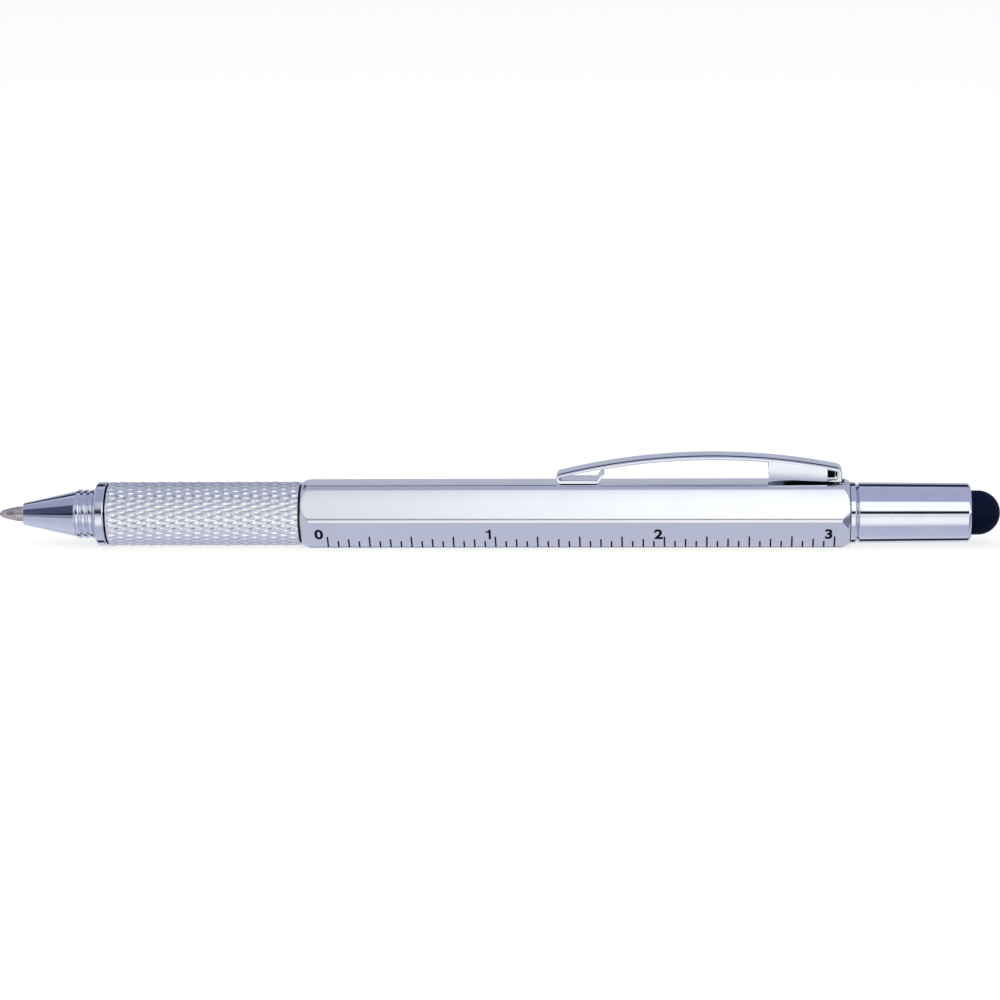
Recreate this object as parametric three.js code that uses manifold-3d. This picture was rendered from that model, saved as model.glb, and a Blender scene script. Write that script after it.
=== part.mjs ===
// A multi tool pen: twist ballpoint, ruled hexagon barrel, spirit level, screwdriver bit and touch stylus.
// Millimetres. The pen lies along X, writing point at -X, on one flat of its barrel with the clip up.
// Stations are measured along the pen's axis from the writing point.
import * as THREE from "three";
import { mergeVertices } from "three/addons/utils/BufferGeometryUtils.js";
import Module from "manifold-3d";

const wasm = await Module();
wasm.setup();

// Clearances shared by the whole pen
const seatGap = 0.02; // between faces that seat on each other
const pressGap = 0.03; // on the radius, where one piece is pressed into another
const threadGap = 0.08; // on the radius, between screwed pieces
const runGap = 0.08; // on the radius, where one piece turns or slides in another
const endGap = 0.05; // between end faces that turn or slide on each other
const overrun = 1.0; // how far a cutter runs past the face that it opens
const edgeBreak = 0.2; // small chamfer on turned edges

// Refill: the standard short metal refill
const refillLength = 67.0;
const refillRadius = 1.175;
const refillWall = 0.36;
const ballRadius = 0.35;
const ballStandOut = 0.3; // ball in front of its socket's rim
const socketGap = 0.05;
const socketRimWall = 0.07;
const pointMidLength = 1.2; // where the point's curve is steepest
const pointMidRadius = 0.82;
const pointConeLength = 2.45;
const pointConeRadius = 1.1;
const pointBodyLength = 10.0;
const pointSpigotLength = 3.0;
const inkChannelRadius = 0.25;
const inkTailGap = 8.0; // empty tube behind the ink
const stopLength = 0.8; // crimped stop that the spring pushes on

// Nose: a chromed cone with three ribs, a flange and a threaded shank
const pointReach = 3.8; // how far the refill stands out of the nose
const noseConeLength = 8.28;
const noseTipRadius = 1.67;
const noseRearRadius = 3.5;
const noseBoreGap = 0.1; // round the refill's point
const ribCount = 3;
const ribPitch = 0.94;
const ribRadius = 3.72;
const ribValleyRadius = 3.42;
const noseFlangeLength = 2.03;
const noseShankRadius = 3.6;
const noseShankLength = 9.0;
const shankEndGap = 1.2; // behind the shank, in the grip's thread
const springSeatDepth = 4.8; // from the nose's front to the step that the spring stands on
const springSideGap = 0.3; // between the spring and the nose's bore

// Grip: a knurled tube that turns on the barrel
const gripRadius = 4.88;
const gripBoreRadius = 3.2;
const camSeatLength = 7.5; // cam tube pressed into the grip's rear

// Return spring
const springWireRadius = 0.18;
const springRadius = 1.72; // to the middle of the wire
const springCurls = 14;
const springLength = 18.4;

// Twist mechanism
const camTubeRadius = 2.6;
const camTubeWall = 0.5;
const refillTravel = 5.0;
const slotHalfWidth = 0.8; // along the axis
const slotEndReach = 0.7; // slot beyond the lug's middle, round the tube
const camRearMargin = 4.0;
const lugRadius = 0.5;
const lugInset = 2.4; // lug behind the plunger's front
const lugSetBack = 15.48; // lug behind the barrel's front
const plungerGripDepth = 7.0; // refill inside the plunger
const plungerFloor = 2.5;
const guideLead = 5.0; // guide sleeve in front of the lug
const guideLength = 17.0;
const guideGrooveDepth = 0.6;
const guideGrooveGap = 0.1; // each side of a lug
const bushFlangeLength = 0.4;
const bushFlangeRadius = 4.6;
const bushSpigotLength = 3.2;
const snapRingClearance = 0.6; // round the ring, in the barrel's bore
const snapRingLength = 0.8;
const snapRingDepth = 0.15; // into the cam tube
const snapRingMouth = 2.2;

// Barrel: a hexagon tube with rounded corners and rounded-off ends
const barrelFlats = 9.8; // across flats
const barrelCornerRadius = 0.75;
const barrelLength = 82.4;
const barrelBoreRadius = 3.9;
const barrelEndRadius = 4.84; // where the end face meets its rounding
const barrelEndRound = 1.7; // length over which the corners fade into the end
const barrelEndClearance = 0.04; // rounded envelope outside the corners, between the ends

// Spirit level, seen through a window in the rear upper face
const windowLength = 14.0;
const windowWidth = 3.4;
const vialRadius = 1.85;
const vialLength = 20.0;
const vialWall = 0.4;
const vialTopGap = 0.13; // between the vial and the barrel's bore, under the window
const vialPlugLength = 2.0;
const bubbleHalfLength = 2.0;
const bubbleHalfHeight = 0.62;
const cradleLength = 26.0;

// Rear collar and bit socket
const collarFlangeLength = 0.85;
const collarFlangeRadius = 4.65;
const collarNeckLength = 0.32;
const collarNeckRadius = 4.15;
const collarThreadWall = 0.7; // round the bit socket
const collarThreadLength = 6.49;
const collarSpigotLength = 12.3;
const socketWallShare = 1.17; // socket's outside as a share of its hexagon's corner radius
const bitFlats = 4.0;
const bitGap = 0.05;
const bitLength = 25.0;
const bitShapedLength = 5.5; // each worked end
const bitNeckRadius = 1.65;
const bladeWidth = 3.2;
const bladeThickness = 0.55;
const bladeLength = 3.4;
const crossLength = 3.2;
const crossRadius = 1.6;
const crossTipRadius = 0.45;
const crossWing = 0.62;
const crossCoreShare = 0.55;
const socketFloor = 1.0;
const socketRecess = 0.2; // socket's mouth inside the collar's thread

// Cap and stylus
const capLength = 16.79;
const capTaper = 0.15; // on the radius, larger in front
const capWall = 0.45;
const capLipLength = 0.4;
const capSeat = 0.04; // cap's front face on the collar's neck
const linerLength = 7.0;
const linerInset = 0.4;
const linerWall = 0.36;
const bitEndGap = 1.58; // between the bit and the stylus plug
const stylusRadius = 3.33;
const stylusReach = 4.5; // rubber standing out of the cap
const stylusWall = 0.85;
const stylusFlangeLength = 1.2;
const stylusPlugLength = 1.8;
const stylusStudGap = 0.18; // round the stud, in the rubber

// Pocket clip: one bent strip
const clipWidth = 4.2;
const clipThickness = 0.5;
const clipArcRadius = 95.0; // of the arm's top
const clipFoldRadius = 0.546; // of the front fold, to the strip's middle
const clipHighSetBack = 20.6; // highest point in front of the barrel's rear
const clipFrontReach = 22.45; // from the highest point to the front fold
const clipLegSetBack = 1.25; // leg's middle in front of the barrel's rear
const clipBendRadius = 0.65;
const clipRest = 0.05; // tongue and leg above the flat at rest
const tongueLength = 4.6;
const tongueRise = 1.7;
const tongueBendRadius = 0.6;
const earFrontSetBack = 12.1; // side ears in front of the barrel's rear
const earRearSetBack = 3.5;
const earFrontLift = 1.0; // ears' lower edge above the flat
const earRearLift = 0.65;
const earWall = 0.4;
const earInset = 0.08; // ears inside the strip's edges
const tabWidth = 2.0;
const tabGap = 0.25; // round the tab in the barrel's slot
const footLength = 2.0;
const footThickness = 0.4;
const footGap = 0.38; // foot under the barrel's inner wall, room for the clip to spring open

// Counts
const roundSides = 32;
const endSides = 48; // of the barrel's rounded ends
const vialSides = 30;
const smallSides = 20;
const springSides = 5;
const springStepsPerCurl = 8;
const cornerSteps = 3;
const endRoundSteps = 4;
const armSteps = 20;
const bendSteps = 5;
const slotSteps = 26;
const domeSteps = 7;
const weldDistance = 1e-4; // vertices nearer than this are one

// Stations of the joints between pieces, from the writing point
const noseFront = pointReach;
const coneRear = noseFront + noseConeLength;
const flangeFront = coneRear + ribCount * ribPitch;
const noseFlangeRear = flangeFront + noseFlangeLength;
const gripFront = noseFlangeRear + seatGap;
const plungerFront = refillLength - plungerGripDepth;
const lugStation = plungerFront + lugInset;
const barrelFront = lugStation - lugSetBack;
const bushFront = barrelFront - seatGap - bushFlangeLength;
const gripRear = bushFront - endGap;
const guideFront = lugStation - guideLead;
const guideRear = guideFront + guideLength;
const barrelRear = barrelFront + barrelLength;
const collarFlangeFront = barrelRear + seatGap;
const collarNeckRear = collarFlangeFront + collarFlangeLength + collarNeckLength;
const threadRear = collarNeckRear + collarThreadLength;
const capFront = collarNeckRear + capSeat;
const capRear = capFront + capLength;
const penLength = capRear + stylusReach;
const stylusRear = capRear - capLipLength - seatGap;
const stylusFront = stylusRear - stylusFlangeLength;
const plugRear = stylusFront - seatGap;
const bitRear = plugRear - stylusPlugLength - bitEndGap;
const bitFront = bitRear - bitLength;
const socketFront = bitFront - seatGap - socketFloor;
const windowStation = (guideRear + socketFront) / 2; // between the mechanism and the bit
const legStation = barrelRear - clipLegSetBack;
const highStation = barrelRear - clipHighSetBack;
const barrelTop = barrelFlats / 2;

// Bit socket, collar, liner and cap fit round each other, and the level in the barrel's bore
const sixth = Math.PI / 3; // of a full turn
const hexHole = bitFlats + 2 * bitGap;
const bitSocketRadius = (hexHole / 2 / Math.cos(sixth / 2)) * socketWallShare;
const collarThreadRadius = bitSocketRadius + pressGap + collarThreadWall;
const capBore = collarThreadRadius + threadGap + linerWall + pressGap;
const capRearRadius = capBore + capWall;
const capFrontRadius = capRearRadius + capTaper;
const vialOffset = barrelBoreRadius - vialRadius - vialTopGap; // vial's axis from the pen's

// Each rib's section, from valley to crest and back, as shares of the pitch
const ribShares = [0.1, 0.35, 0.65, 0.9];

// The level's window looks along this direction, up and away from the ruled side.
const windowNormal = new THREE.Vector3(0, Math.cos(sixth / 2), Math.sin(sixth / 2));

// Materials
const finish = (color, roughness, metalness) =>
  new THREE.MeshStandardMaterial({ color, roughness, metalness });
const chrome = finish(0xd5d9e6, 0.08, 1);
const satinSilver = finish(0xd9dde8, 0.35, 0.9);
const brass = finish(0xc9a55c, 0.3, 1);
const nickelSilver = finish(0xb7aaa0, 0.28, 1);
const steel = finish(0xb9bcc2, 0.3, 1);
const blackPlastic = finish(0x15161a, 0.35, 0);
const whitePlastic = finish(0xe9e9e4, 0.45, 0);
const inkBlue = finish(0x14256b, 0.5, 0);
const rubber = finish(0x11152b, 0.6, 0);
const levelLiquidTint = finish(0xb9e04a, 0.1, 0);
const clearPlastic = finish(0xe6f2f4, 0.05, 0);
clearPlastic.transparent = true;
clearPlastic.opacity = 0.35;

// Joins equal vertices and drops the flat triangles that a pole leaves.
function welded(geometry) {
  const bare = geometry.clone();
  bare.deleteAttribute("normal");
  bare.deleteAttribute("uv");
  const merged = mergeVertices(bare, weldDistance);
  const kept = [];
  for (let i = 0; i < merged.index.count; i += 3) {
    const corner = [0, 1, 2].map((k) => merged.index.getX(i + k));
    if (new Set(corner).size === 3) kept.push(...corner);
  }
  merged.setIndex(kept);
  return merged;
}

function solidOf(geometry) {
  const { attributes, index } = welded(geometry);
  const vertProperties = new Float32Array(attributes.position.array);
  const triVerts = new Uint32Array(index.array);
  return new wasm.Manifold(new wasm.Mesh({ numProp: 3, vertProperties, triVerts }));
}

function geometryOf(solid) {
  const { vertProperties, triVerts } = solid.getMesh();
  const geometry = new THREE.BufferGeometry();
  geometry.setAttribute("position", new THREE.BufferAttribute(new Float32Array(vertProperties), 3));
  geometry.setIndex(new THREE.BufferAttribute(new Uint32Array(triVerts), 1));
  geometry.computeVertexNormals();
  return geometry;
}

const cut = (body, ...tools) =>
  geometryOf(tools.reduce((left, tool) => left.subtract(solidOf(tool)), solidOf(body)));
const join = (body, ...others) =>
  geometryOf(others.reduce((sum, other) => sum.add(solidOf(other)), solidOf(body)));
const overlap = (a, b) => geometryOf(solidOf(a).intersect(solidOf(b)));

// Turns a loop of [station, radius] points about the axis. A solid one starts and ends on the axis.
function turned(profile, sides = roundSides) {
  let area = 0;
  profile.forEach(([s, r], i) => {
    const [nextS, nextR] = profile[(i + 1) % profile.length];
    area += s * nextR - nextS * r;
  });
  const loop = area < 0 ? [...profile] : [...profile].reverse();
  if (loop[0][1] > 0) loop.push(loop[0]);
  const points = loop.map(([s, r]) => new THREE.Vector2(r, s));
  return welded(new THREE.LatheGeometry(points, sides).rotateZ(-Math.PI / 2));
}

// A plain rod or tube between two stations.
const rod = (from, to, radius, sides) => turned([[from, 0], [from, radius], [to, radius], [to, 0]], sides);
const tube = (from, to, outer, inner, sides) =>
  turned([[from, inner], [from, outer], [to, outer], [to, inner]], sides);

// A box from its lowest to its highest corner.
function box(low, high) {
  const size = high.map((value, i) => value - low[i]);
  const middle = high.map((value, i) => (value + low[i]) / 2);
  return new THREE.BoxGeometry(...size).translate(...middle);
}

// Extrudes an outline of [u, v] points by depth along w = u x v, from the given origin.
function prism(outline, depth, u, v, origin) {
  const shape = new THREE.Shape(outline.map(([a, b]) => new THREE.Vector2(a, b)));
  const frame = new THREE.Matrix4().makeBasis(u, v, new THREE.Vector3().crossVectors(u, v));
  const geometry = new THREE.ExtrudeGeometry(shape, { depth, bevelEnabled: false });
  return geometry.applyMatrix4(frame.setPosition(origin));
}

const alongX = new THREE.Vector3(1, 0, 0);
const alongY = new THREE.Vector3(0, 1, 0);
const alongZ = new THREE.Vector3(0, 0, 1);

// A side view in station and height, given its width across the pen.
const sidePlate = (outline, width, middle = 0) =>
  prism(outline, width, alongX, alongZ, new THREE.Vector3(0, middle + width / 2, 0));
// A section in Y and Z, carried from one station to another.
const lengthwise = (outline, from, to) =>
  prism(outline, to - from, alongY, alongZ, new THREE.Vector3(from, 0, 0));

// Points on an arc of the given radius round a middle, angles in radians.
function arc([cx, cy], radius, start, end, steps) {
  return Array.from({ length: steps + 1 }, (_, i) => {
    const angle = start + ((end - start) * i) / steps;
    return [cx + radius * Math.cos(angle), cy + radius * Math.sin(angle)];
  });
}

// Closes a row of equal rings of points into a solid with a fan on each end.
function swept(rings) {
  const count = rings[0].length;
  const index = [];
  for (let i = 0; i + 1 < rings.length; i += 1) {
    for (let k = 0; k < count; k += 1) {
      const [a, b] = [i * count + k, i * count + ((k + 1) % count)];
      index.push(a, b, b + count, a, b + count, a + count);
    }
  }
  const last = (rings.length - 1) * count;
  for (let k = 1; k + 1 < count; k += 1) index.push(0, k + 1, k, last, last + k, last + k + 1);
  const geometry = new THREE.BufferGeometry();
  geometry.setAttribute("position", new THREE.Float32BufferAttribute(rings.flat(2), 3));
  geometry.setIndex(index);
  return geometry;
}

// A regular hexagon with a flat on top, its corners rounded where a radius is given.
function hexagon(flats, cornerRadius = 0) {
  const toCorner = (flats / 2 - cornerRadius) / Math.cos(sixth / 2);
  return Array.from({ length: 6 }, (_, i) => {
    const angle = i * sixth;
    const middle = [toCorner * Math.cos(angle), toCorner * Math.sin(angle)];
    if (!cornerRadius) return [middle];
    return arc(middle, cornerRadius, angle - sixth / 2, angle + sixth / 2, cornerSteps);
  }).flat();
}

const pen = new THREE.Group();
pen.position.set(-penLength / 2, 0, barrelTop);

function add(name, geometry, material, parent = pen) {
  const mesh = new THREE.Mesh(geometry, material);
  mesh.name = name;
  parent.add(mesh);
}

// Refill: ball, metal point, ink tube with its crimped stop, ink
const tubeFront = pointBodyLength + seatGap;
const springSeat = noseFront + springSeatDepth;
const stopFront = springSeat + springLength + seatGap;
const stopRadius = springRadius + springWireRadius;
const socketFace = ballStandOut;
const socketRadius = ballRadius + socketGap;
const spigotRear = tubeFront + pointSpigotLength;
const spigotRadius = refillRadius - refillWall - pressGap;

function writingBall() {
  return new THREE.SphereGeometry(ballRadius, smallSides, domeSteps).translate(ballRadius, 0, 0);
}

function refillTip() {
  return turned([
    [socketFace, socketRadius],
    [socketFace, socketRadius + socketRimWall],
    [pointMidLength, pointMidRadius],
    [pointConeLength, pointConeRadius],
    [pointConeLength + edgeBreak, refillRadius],
    [pointBodyLength, refillRadius],
    [pointBodyLength, spigotRadius],
    [spigotRear, spigotRadius],
    [spigotRear, inkChannelRadius],
    [2 * ballRadius + socketGap, inkChannelRadius],
    [2 * ballRadius + socketGap, socketRadius],
  ], smallSides);
}

function refillTube() {
  const bore = refillRadius - refillWall;
  return turned([
    [tubeFront, bore],
    [tubeFront, refillRadius],
    [stopFront, refillRadius],
    [stopFront, stopRadius],
    [stopFront + stopLength, stopRadius],
    [stopFront + stopLength, refillRadius],
    [refillLength, refillRadius],
    [refillLength, bore],
  ], smallSides);
}

function inkColumn() {
  const [front, rear] = [spigotRear + seatGap, refillLength - inkTailGap];
  return rod(front, rear, refillRadius - refillWall - seatGap, smallSides);
}

// Nose cone: cone, rounded ribs, flange and shank outside; refill bore and spring bore inside
function noseCone() {
  const ribs = Array.from({ length: ribCount }, (_, i) => {
    const start = coneRear + i * ribPitch;
    const radii = [ribValleyRadius, ribRadius, ribRadius, ribValleyRadius];
    return ribShares.map((share, k) => [start + share * ribPitch, radii[k]]);
  }).flat();
  const bore = refillRadius + noseBoreGap;
  const springBoreRadius = stopRadius + springSideGap;
  const shankRear = noseFlangeRear + noseShankLength;
  return turned([
    [noseFront, bore],
    [noseFront, noseTipRadius - edgeBreak / 2],
    [noseFront + edgeBreak / 2, noseTipRadius],
    [coneRear, noseRearRadius],
    ...ribs,
    [flangeFront, ribValleyRadius],
    [flangeFront, gripRadius - edgeBreak],
    [flangeFront + edgeBreak, gripRadius],
    [noseFlangeRear, gripRadius],
    [noseFlangeRear, noseShankRadius],
    [shankRear, noseShankRadius],
    [shankRear, springBoreRadius],
    [springSeat, springBoreRadius],
    [springSeat, bore],
  ]);
}

// Grip sleeve: threaded in front, plain in the middle, a seat for the cam tube behind
const camFront = gripRear - camSeatLength;

function gripSleeve() {
  const threadBore = noseShankRadius + threadGap;
  const threadDepth = noseShankLength + shankEndGap;
  const camSeat = camTubeRadius + pressGap;
  return turned([
    [gripFront, threadBore],
    [gripFront, gripRadius],
    [gripRear, gripRadius],
    [gripRear, camSeat],
    [camFront, camSeat],
    [camFront, gripBoreRadius],
    [gripFront + threadDepth, gripBoreRadius],
    [gripFront + threadDepth, threadBore],
  ]);
}

// Return spring: one helix of wire between the nose's step and the refill's stop
function returnSpring() {
  const steps = springCurls * springStepsPerCurl;
  const climb = springLength - 2 * springWireRadius - 2 * seatGap;
  const start = springSeat + seatGap + springWireRadius;
  const turn = springCurls * 2 * Math.PI;
  const rings = Array.from({ length: steps + 1 }, (_, i) => {
    const angle = (turn * i) / steps;
    const out = new THREE.Vector3(0, Math.cos(angle), Math.sin(angle));
    const round = new THREE.Vector3(0, -Math.sin(angle), Math.cos(angle)).multiplyScalar(springRadius);
    const side = new THREE.Vector3().crossVectors(round.setX(climb / turn).normalize(), out);
    const middle = out.clone().multiplyScalar(springRadius).setX(start + (climb * i) / steps);
    return Array.from({ length: springSides }, (_unused, k) => {
      const corner = (2 * Math.PI * k) / springSides;
      const point = middle.clone().addScaledVector(out, springWireRadius * Math.cos(corner));
      return point.addScaledVector(side, springWireRadius * Math.sin(corner)).toArray();
    });
  });
  const leastGap = climb / springCurls - 2 * springWireRadius;
  console.log("spring: least gap between its curls", leastGap.toFixed(3), "mm");
  return swept(rings);
}

// Twist mechanism: cam tube with two helical slots, plunger with two lugs, straight-grooved guide
const plungerRear = refillLength + seatGap + plungerFloor;
const camRear = lugStation + refillTravel + slotHalfWidth + camRearMargin;
const camBore = camTubeRadius - camTubeWall;
const ringFront = barrelFront + bushSpigotLength + endGap;

// One helical slot: it climbs the refill's travel in half a turn.
function slotCutter(startAngle) {
  const reach = slotEndReach / (camTubeRadius - camTubeWall / 2);
  const rings = Array.from({ length: slotSteps + 1 }, (_, i) => {
    const turnBack = -reach + ((Math.PI + 2 * reach) * i) / slotSteps;
    const angle = startAngle - turnBack;
    const station = lugStation + (refillTravel * turnBack) / Math.PI;
    const at = (s, r) => [s, r * Math.cos(angle), r * Math.sin(angle)];
    const [inside, outside] = [camBore - camTubeWall, camTubeRadius + camTubeWall];
    return [
      at(station - slotHalfWidth, inside),
      at(station - slotHalfWidth, outside),
      at(station + slotHalfWidth, outside),
      at(station + slotHalfWidth, inside),
    ];
  });
  return swept(rings);
}

function camTube() {
  const groove = camTubeRadius - snapRingDepth;
  const body = turned([
    [camFront + seatGap, camBore],
    [camFront + seatGap, camTubeRadius],
    [ringFront, camTubeRadius],
    [ringFront, groove],
    [ringFront + snapRingLength + 2 * seatGap, groove],
    [ringFront + snapRingLength + 2 * seatGap, camTubeRadius],
    [camRear, camTubeRadius],
    [camRear, camBore],
  ], smallSides);
  return cut(body, slotCutter(0), slotCutter(Math.PI));
}

function snapRing() {
  const from = ringFront + seatGap;
  const inner = camTubeRadius - snapRingDepth + pressGap;
  const outer = barrelBoreRadius - snapRingClearance;
  const to = from + snapRingLength;
  const mouth = box(
    [from - overrun, -snapRingMouth / 2, 0],
    [to + overrun, snapRingMouth / 2, outer + overrun],
  );
  return cut(tube(from, to, outer, inner, smallSides), mouth);
}

function plunger() {
  const outer = camBore - runGap;
  const floor = refillLength + seatGap;
  const cupRadius = refillRadius + pressGap;
  const cup = turned([
    [floor, 0],
    [floor, cupRadius],
    [plungerFront, cupRadius],
    [plungerFront, outer],
    [plungerRear, outer],
    [plungerRear, 0],
  ], smallSides);
  const lug = (side) => {
    const [near, far] = [(refillRadius + outer) / 2, camTubeRadius + guideGrooveDepth];
    const pin = new THREE.CylinderGeometry(lugRadius, lugRadius, far - near, smallSides);
    return pin.translate(lugStation, side * (near + far) / 2, 0);
  };
  return join(cup, lug(1), lug(-1));
}

function guideSleeve() {
  const inner = camTubeRadius + runGap;
  const body = tube(guideFront, guideRear, barrelBoreRadius - pressGap, inner);
  const halfWidth = lugRadius + guideGrooveGap;
  const depth = inner + guideGrooveDepth;
  const grooveFront = lugStation - lugRadius - slotEndReach;
  return cut(body, box([grooveFront, -depth, -halfWidth], [guideRear + overrun, depth, halfWidth]));
}

function barrelBush() {
  const inner = camTubeRadius + runGap;
  return turned([
    [bushFront, inner],
    [bushFront, bushFlangeRadius],
    [bushFront + bushFlangeLength, bushFlangeRadius],
    [bushFront + bushFlangeLength, barrelBoreRadius - pressGap],
    [barrelFront + bushSpigotLength, barrelBoreRadius - pressGap],
    [barrelFront + bushSpigotLength, inner],
  ]);
}

// Barrel: hexagon, ends rounded on a lathe, bored, with the level's window and the clip's slot
function hexBarrel() {
  const cornerReach = (barrelTop - barrelCornerRadius) / Math.cos(sixth / 2) + barrelCornerRadius;
  const rise = cornerReach + barrelEndClearance - barrelEndRadius;
  const rounding = Array.from({ length: endRoundSteps + 1 }, (_, i) => {
    const share = i / endRoundSteps;
    return [barrelEndRound * share, barrelEndRadius + rise * Math.sin((share * Math.PI) / 2)];
  });
  const envelope = turned([
    [barrelFront, 0],
    ...rounding.map(([s, r]) => [barrelFront + s, r]),
    ...rounding.map(([s, r]) => [barrelRear - s, r]).reverse(),
    [barrelRear, 0],
  ], endSides);
  const section = hexagon(barrelFlats, barrelCornerRadius);
  const bar = lengthwise(section, barrelFront - overrun, barrelRear + overrun);
  const bore = rod(barrelFront - overrun, barrelRear + overrun, barrelBoreRadius);
  const half = windowLength / 2 - windowWidth / 2;
  const window = prism([
    ...arc([windowStation + half, 0], windowWidth / 2, -Math.PI / 2, Math.PI / 2, bendSteps),
    ...arc([windowStation - half, 0], windowWidth / 2, Math.PI / 2, 1.5 * Math.PI, bendSteps),
  ], barrelFlats, alongX, new THREE.Vector3().crossVectors(windowNormal, alongX), new THREE.Vector3());
  const slotHalf = clipThickness / 2 + tabGap;
  const clipSlot = box([legStation - slotHalf, -tabWidth / 2 - tabGap, 0],
    [legStation + slotHalf, tabWidth / 2 + tabGap, barrelTop + overrun]);
  return cut(overlap(bar, envelope), bore, window, clipSlot);
}

// Spirit level: everything turned about the vial's own axis sits in this group
const levelAxis = new THREE.Group();
levelAxis.position.copy(windowNormal.clone().multiplyScalar(vialOffset));
pen.add(levelAxis);
const vialFront = windowStation - vialLength / 2;
const vialBore = vialRadius - vialWall;
const vialInsideFront = vialFront + vialWall;
const plugFront = vialFront + vialLength - vialPlugLength;

function levelVial() {
  const rear = vialFront + vialLength;
  return turned([
    [vialFront, 0],
    [vialFront, vialRadius - edgeBreak],
    [vialFront + edgeBreak, vialRadius],
    [rear, vialRadius],
    [rear, vialBore],
    [vialInsideFront, vialBore],
    [vialInsideFront, 0],
  ], vialSides);
}

function levelLiquid() {
  const radius = vialBore - seatGap;
  const bubble = new THREE.SphereGeometry(1, smallSides, domeSteps + 3);
  bubble.scale(bubbleHalfLength, bubbleHalfHeight, bubbleHalfHeight);
  bubble.translate(windowStation, 0, radius - bubbleHalfHeight + seatGap);
  return cut(rod(vialInsideFront + seatGap, plugFront - seatGap, radius, vialSides), bubble);
}

function vialPlug() {
  return rod(plugFront, vialFront + vialLength - seatGap, vialBore - pressGap, smallSides);
}

function levelCradle() {
  const front = windowStation - cradleLength / 2;
  const body = rod(front, front + cradleLength, barrelBoreRadius - pressGap);
  const [start, end] = [vialFront - seatGap, vialFront + vialLength + seatGap];
  const pocketRadius = vialRadius + pressGap;
  const trough = rod(start, end, pocketRadius, vialSides).translate(...levelAxis.position.toArray());
  const across = new THREE.Vector3().crossVectors(windowNormal, alongX);
  const [low, high] = [-pocketRadius, pocketRadius];
  const opening = [[start, low], [end, low], [end, high], [start, high]];
  const mouth = prism(opening, barrelBoreRadius, alongX, across, levelAxis.position);
  return cut(body, trough, mouth);
}

// Rear collar: spigot in the barrel, visible flange, neck and thread, notched for the clip's foot
const footTop = Math.sqrt(barrelBoreRadius ** 2 - (tabWidth / 2) ** 2) - footGap / 2;
const footFront = legStation - clipThickness / 2 - footLength;

function rearCollar() {
  const bore = bitSocketRadius + pressGap;
  const spigot = barrelBoreRadius - pressGap;
  const flangeRear = collarFlangeFront + collarFlangeLength;
  const body = turned([
    [barrelRear - collarSpigotLength, bore],
    [barrelRear - collarSpigotLength, spigot],
    [collarFlangeFront, spigot],
    [collarFlangeFront, collarFlangeRadius],
    [flangeRear - edgeBreak, collarFlangeRadius],
    [flangeRear, collarFlangeRadius - edgeBreak],
    [flangeRear, collarNeckRadius],
    [collarNeckRear, collarNeckRadius],
    [collarNeckRear, collarThreadRadius],
    [threadRear, collarThreadRadius],
    [threadRear, bore],
  ]);
  const notchHalf = tabWidth / 2 + tabGap;
  const notch = box([footFront - tabGap, -notchHalf, footTop - footThickness - tabGap / 2],
    [legStation + clipThickness / 2 + tabGap, notchHalf, spigot + overrun]);
  return cut(body, notch);
}

function bitSocket() {
  const rear = threadRear - socketRecess;
  const body = rod(socketFront, rear, bitSocketRadius);
  return cut(body, lengthwise(hexagon(hexHole), socketFront + socketFloor, rear + overrun));
}

// Screwdriver bit: hexagon shank, a flat blade in front and a cross point behind
function screwdriverBit() {
  const [front, rear] = [bitFront, bitRear];
  const shank = lengthwise(hexagon(bitFlats), front + bitShapedLength, rear - bitShapedLength);
  const crossFront = rear - crossLength;
  const neck = rod(front + bladeLength, crossFront, bitNeckRadius, smallSides);
  const bladeFoot = front + bladeLength + bitNeckRadius;
  const wedge = sidePlate([
    [front, -bladeThickness / 2],
    [bladeFoot, -bitNeckRadius],
    [bladeFoot, bitNeckRadius],
    [front, bladeThickness / 2],
  ], bladeWidth);
  const blade = overlap(wedge, lengthwise(hexagon(bitFlats), front - overrun, rear));
  const point = (share) => turned([
    [crossFront - overrun, 0],
    [crossFront - overrun, crossRadius * share],
    [crossFront, crossRadius * share],
    [rear, crossTipRadius * share],
    [rear, 0],
  ], smallSides);
  const wing = (wide, tall) => box([crossFront - overrun, -wide, -tall], [rear, wide, tall]);
  const cross = join(wing(crossWing / 2, crossRadius), wing(crossRadius, crossWing / 2));
  return join(shank, neck, blade, overlap(point(1), cross), point(crossCoreShare));
}

// Cap: chromed tube with a rear lip, threaded liner inside its front
function capTube() {
  const lipRadius = stylusRadius + runGap;
  return turned([
    [capFront, capBore],
    [capFront, capFrontRadius - edgeBreak],
    [capFront + edgeBreak, capFrontRadius],
    [capRear - edgeBreak, capRearRadius],
    [capRear, capRearRadius - edgeBreak],
    [capRear, lipRadius],
    [capRear - capLipLength, lipRadius],
    [capRear - capLipLength, capBore],
  ]);
}

function capLiner() {
  const front = capFront + linerInset;
  return tube(front, front + linerLength, capBore - pressGap, collarThreadRadius + threadGap);
}

// Stylus: hollow rubber dome trapped behind the cap's lip by a plastic plug
const domeMiddle = penLength - stylusRadius;
const stylusInside = stylusRadius - stylusWall;

function stylusTip() {
  const skin = arc([domeMiddle, 0], stylusRadius, Math.PI / 2, 0, domeSteps);
  const lining = arc([domeMiddle, 0], stylusInside, 0, Math.PI / 2, domeSteps);
  skin[domeSteps][1] = 0;
  lining[0][1] = 0;
  return turned([
    ...lining,
    [stylusFront, stylusInside],
    [stylusFront, capBore - pressGap],
    [stylusRear, capBore - pressGap],
    [stylusRear, stylusRadius],
    ...skin,
  ]);
}

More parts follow.
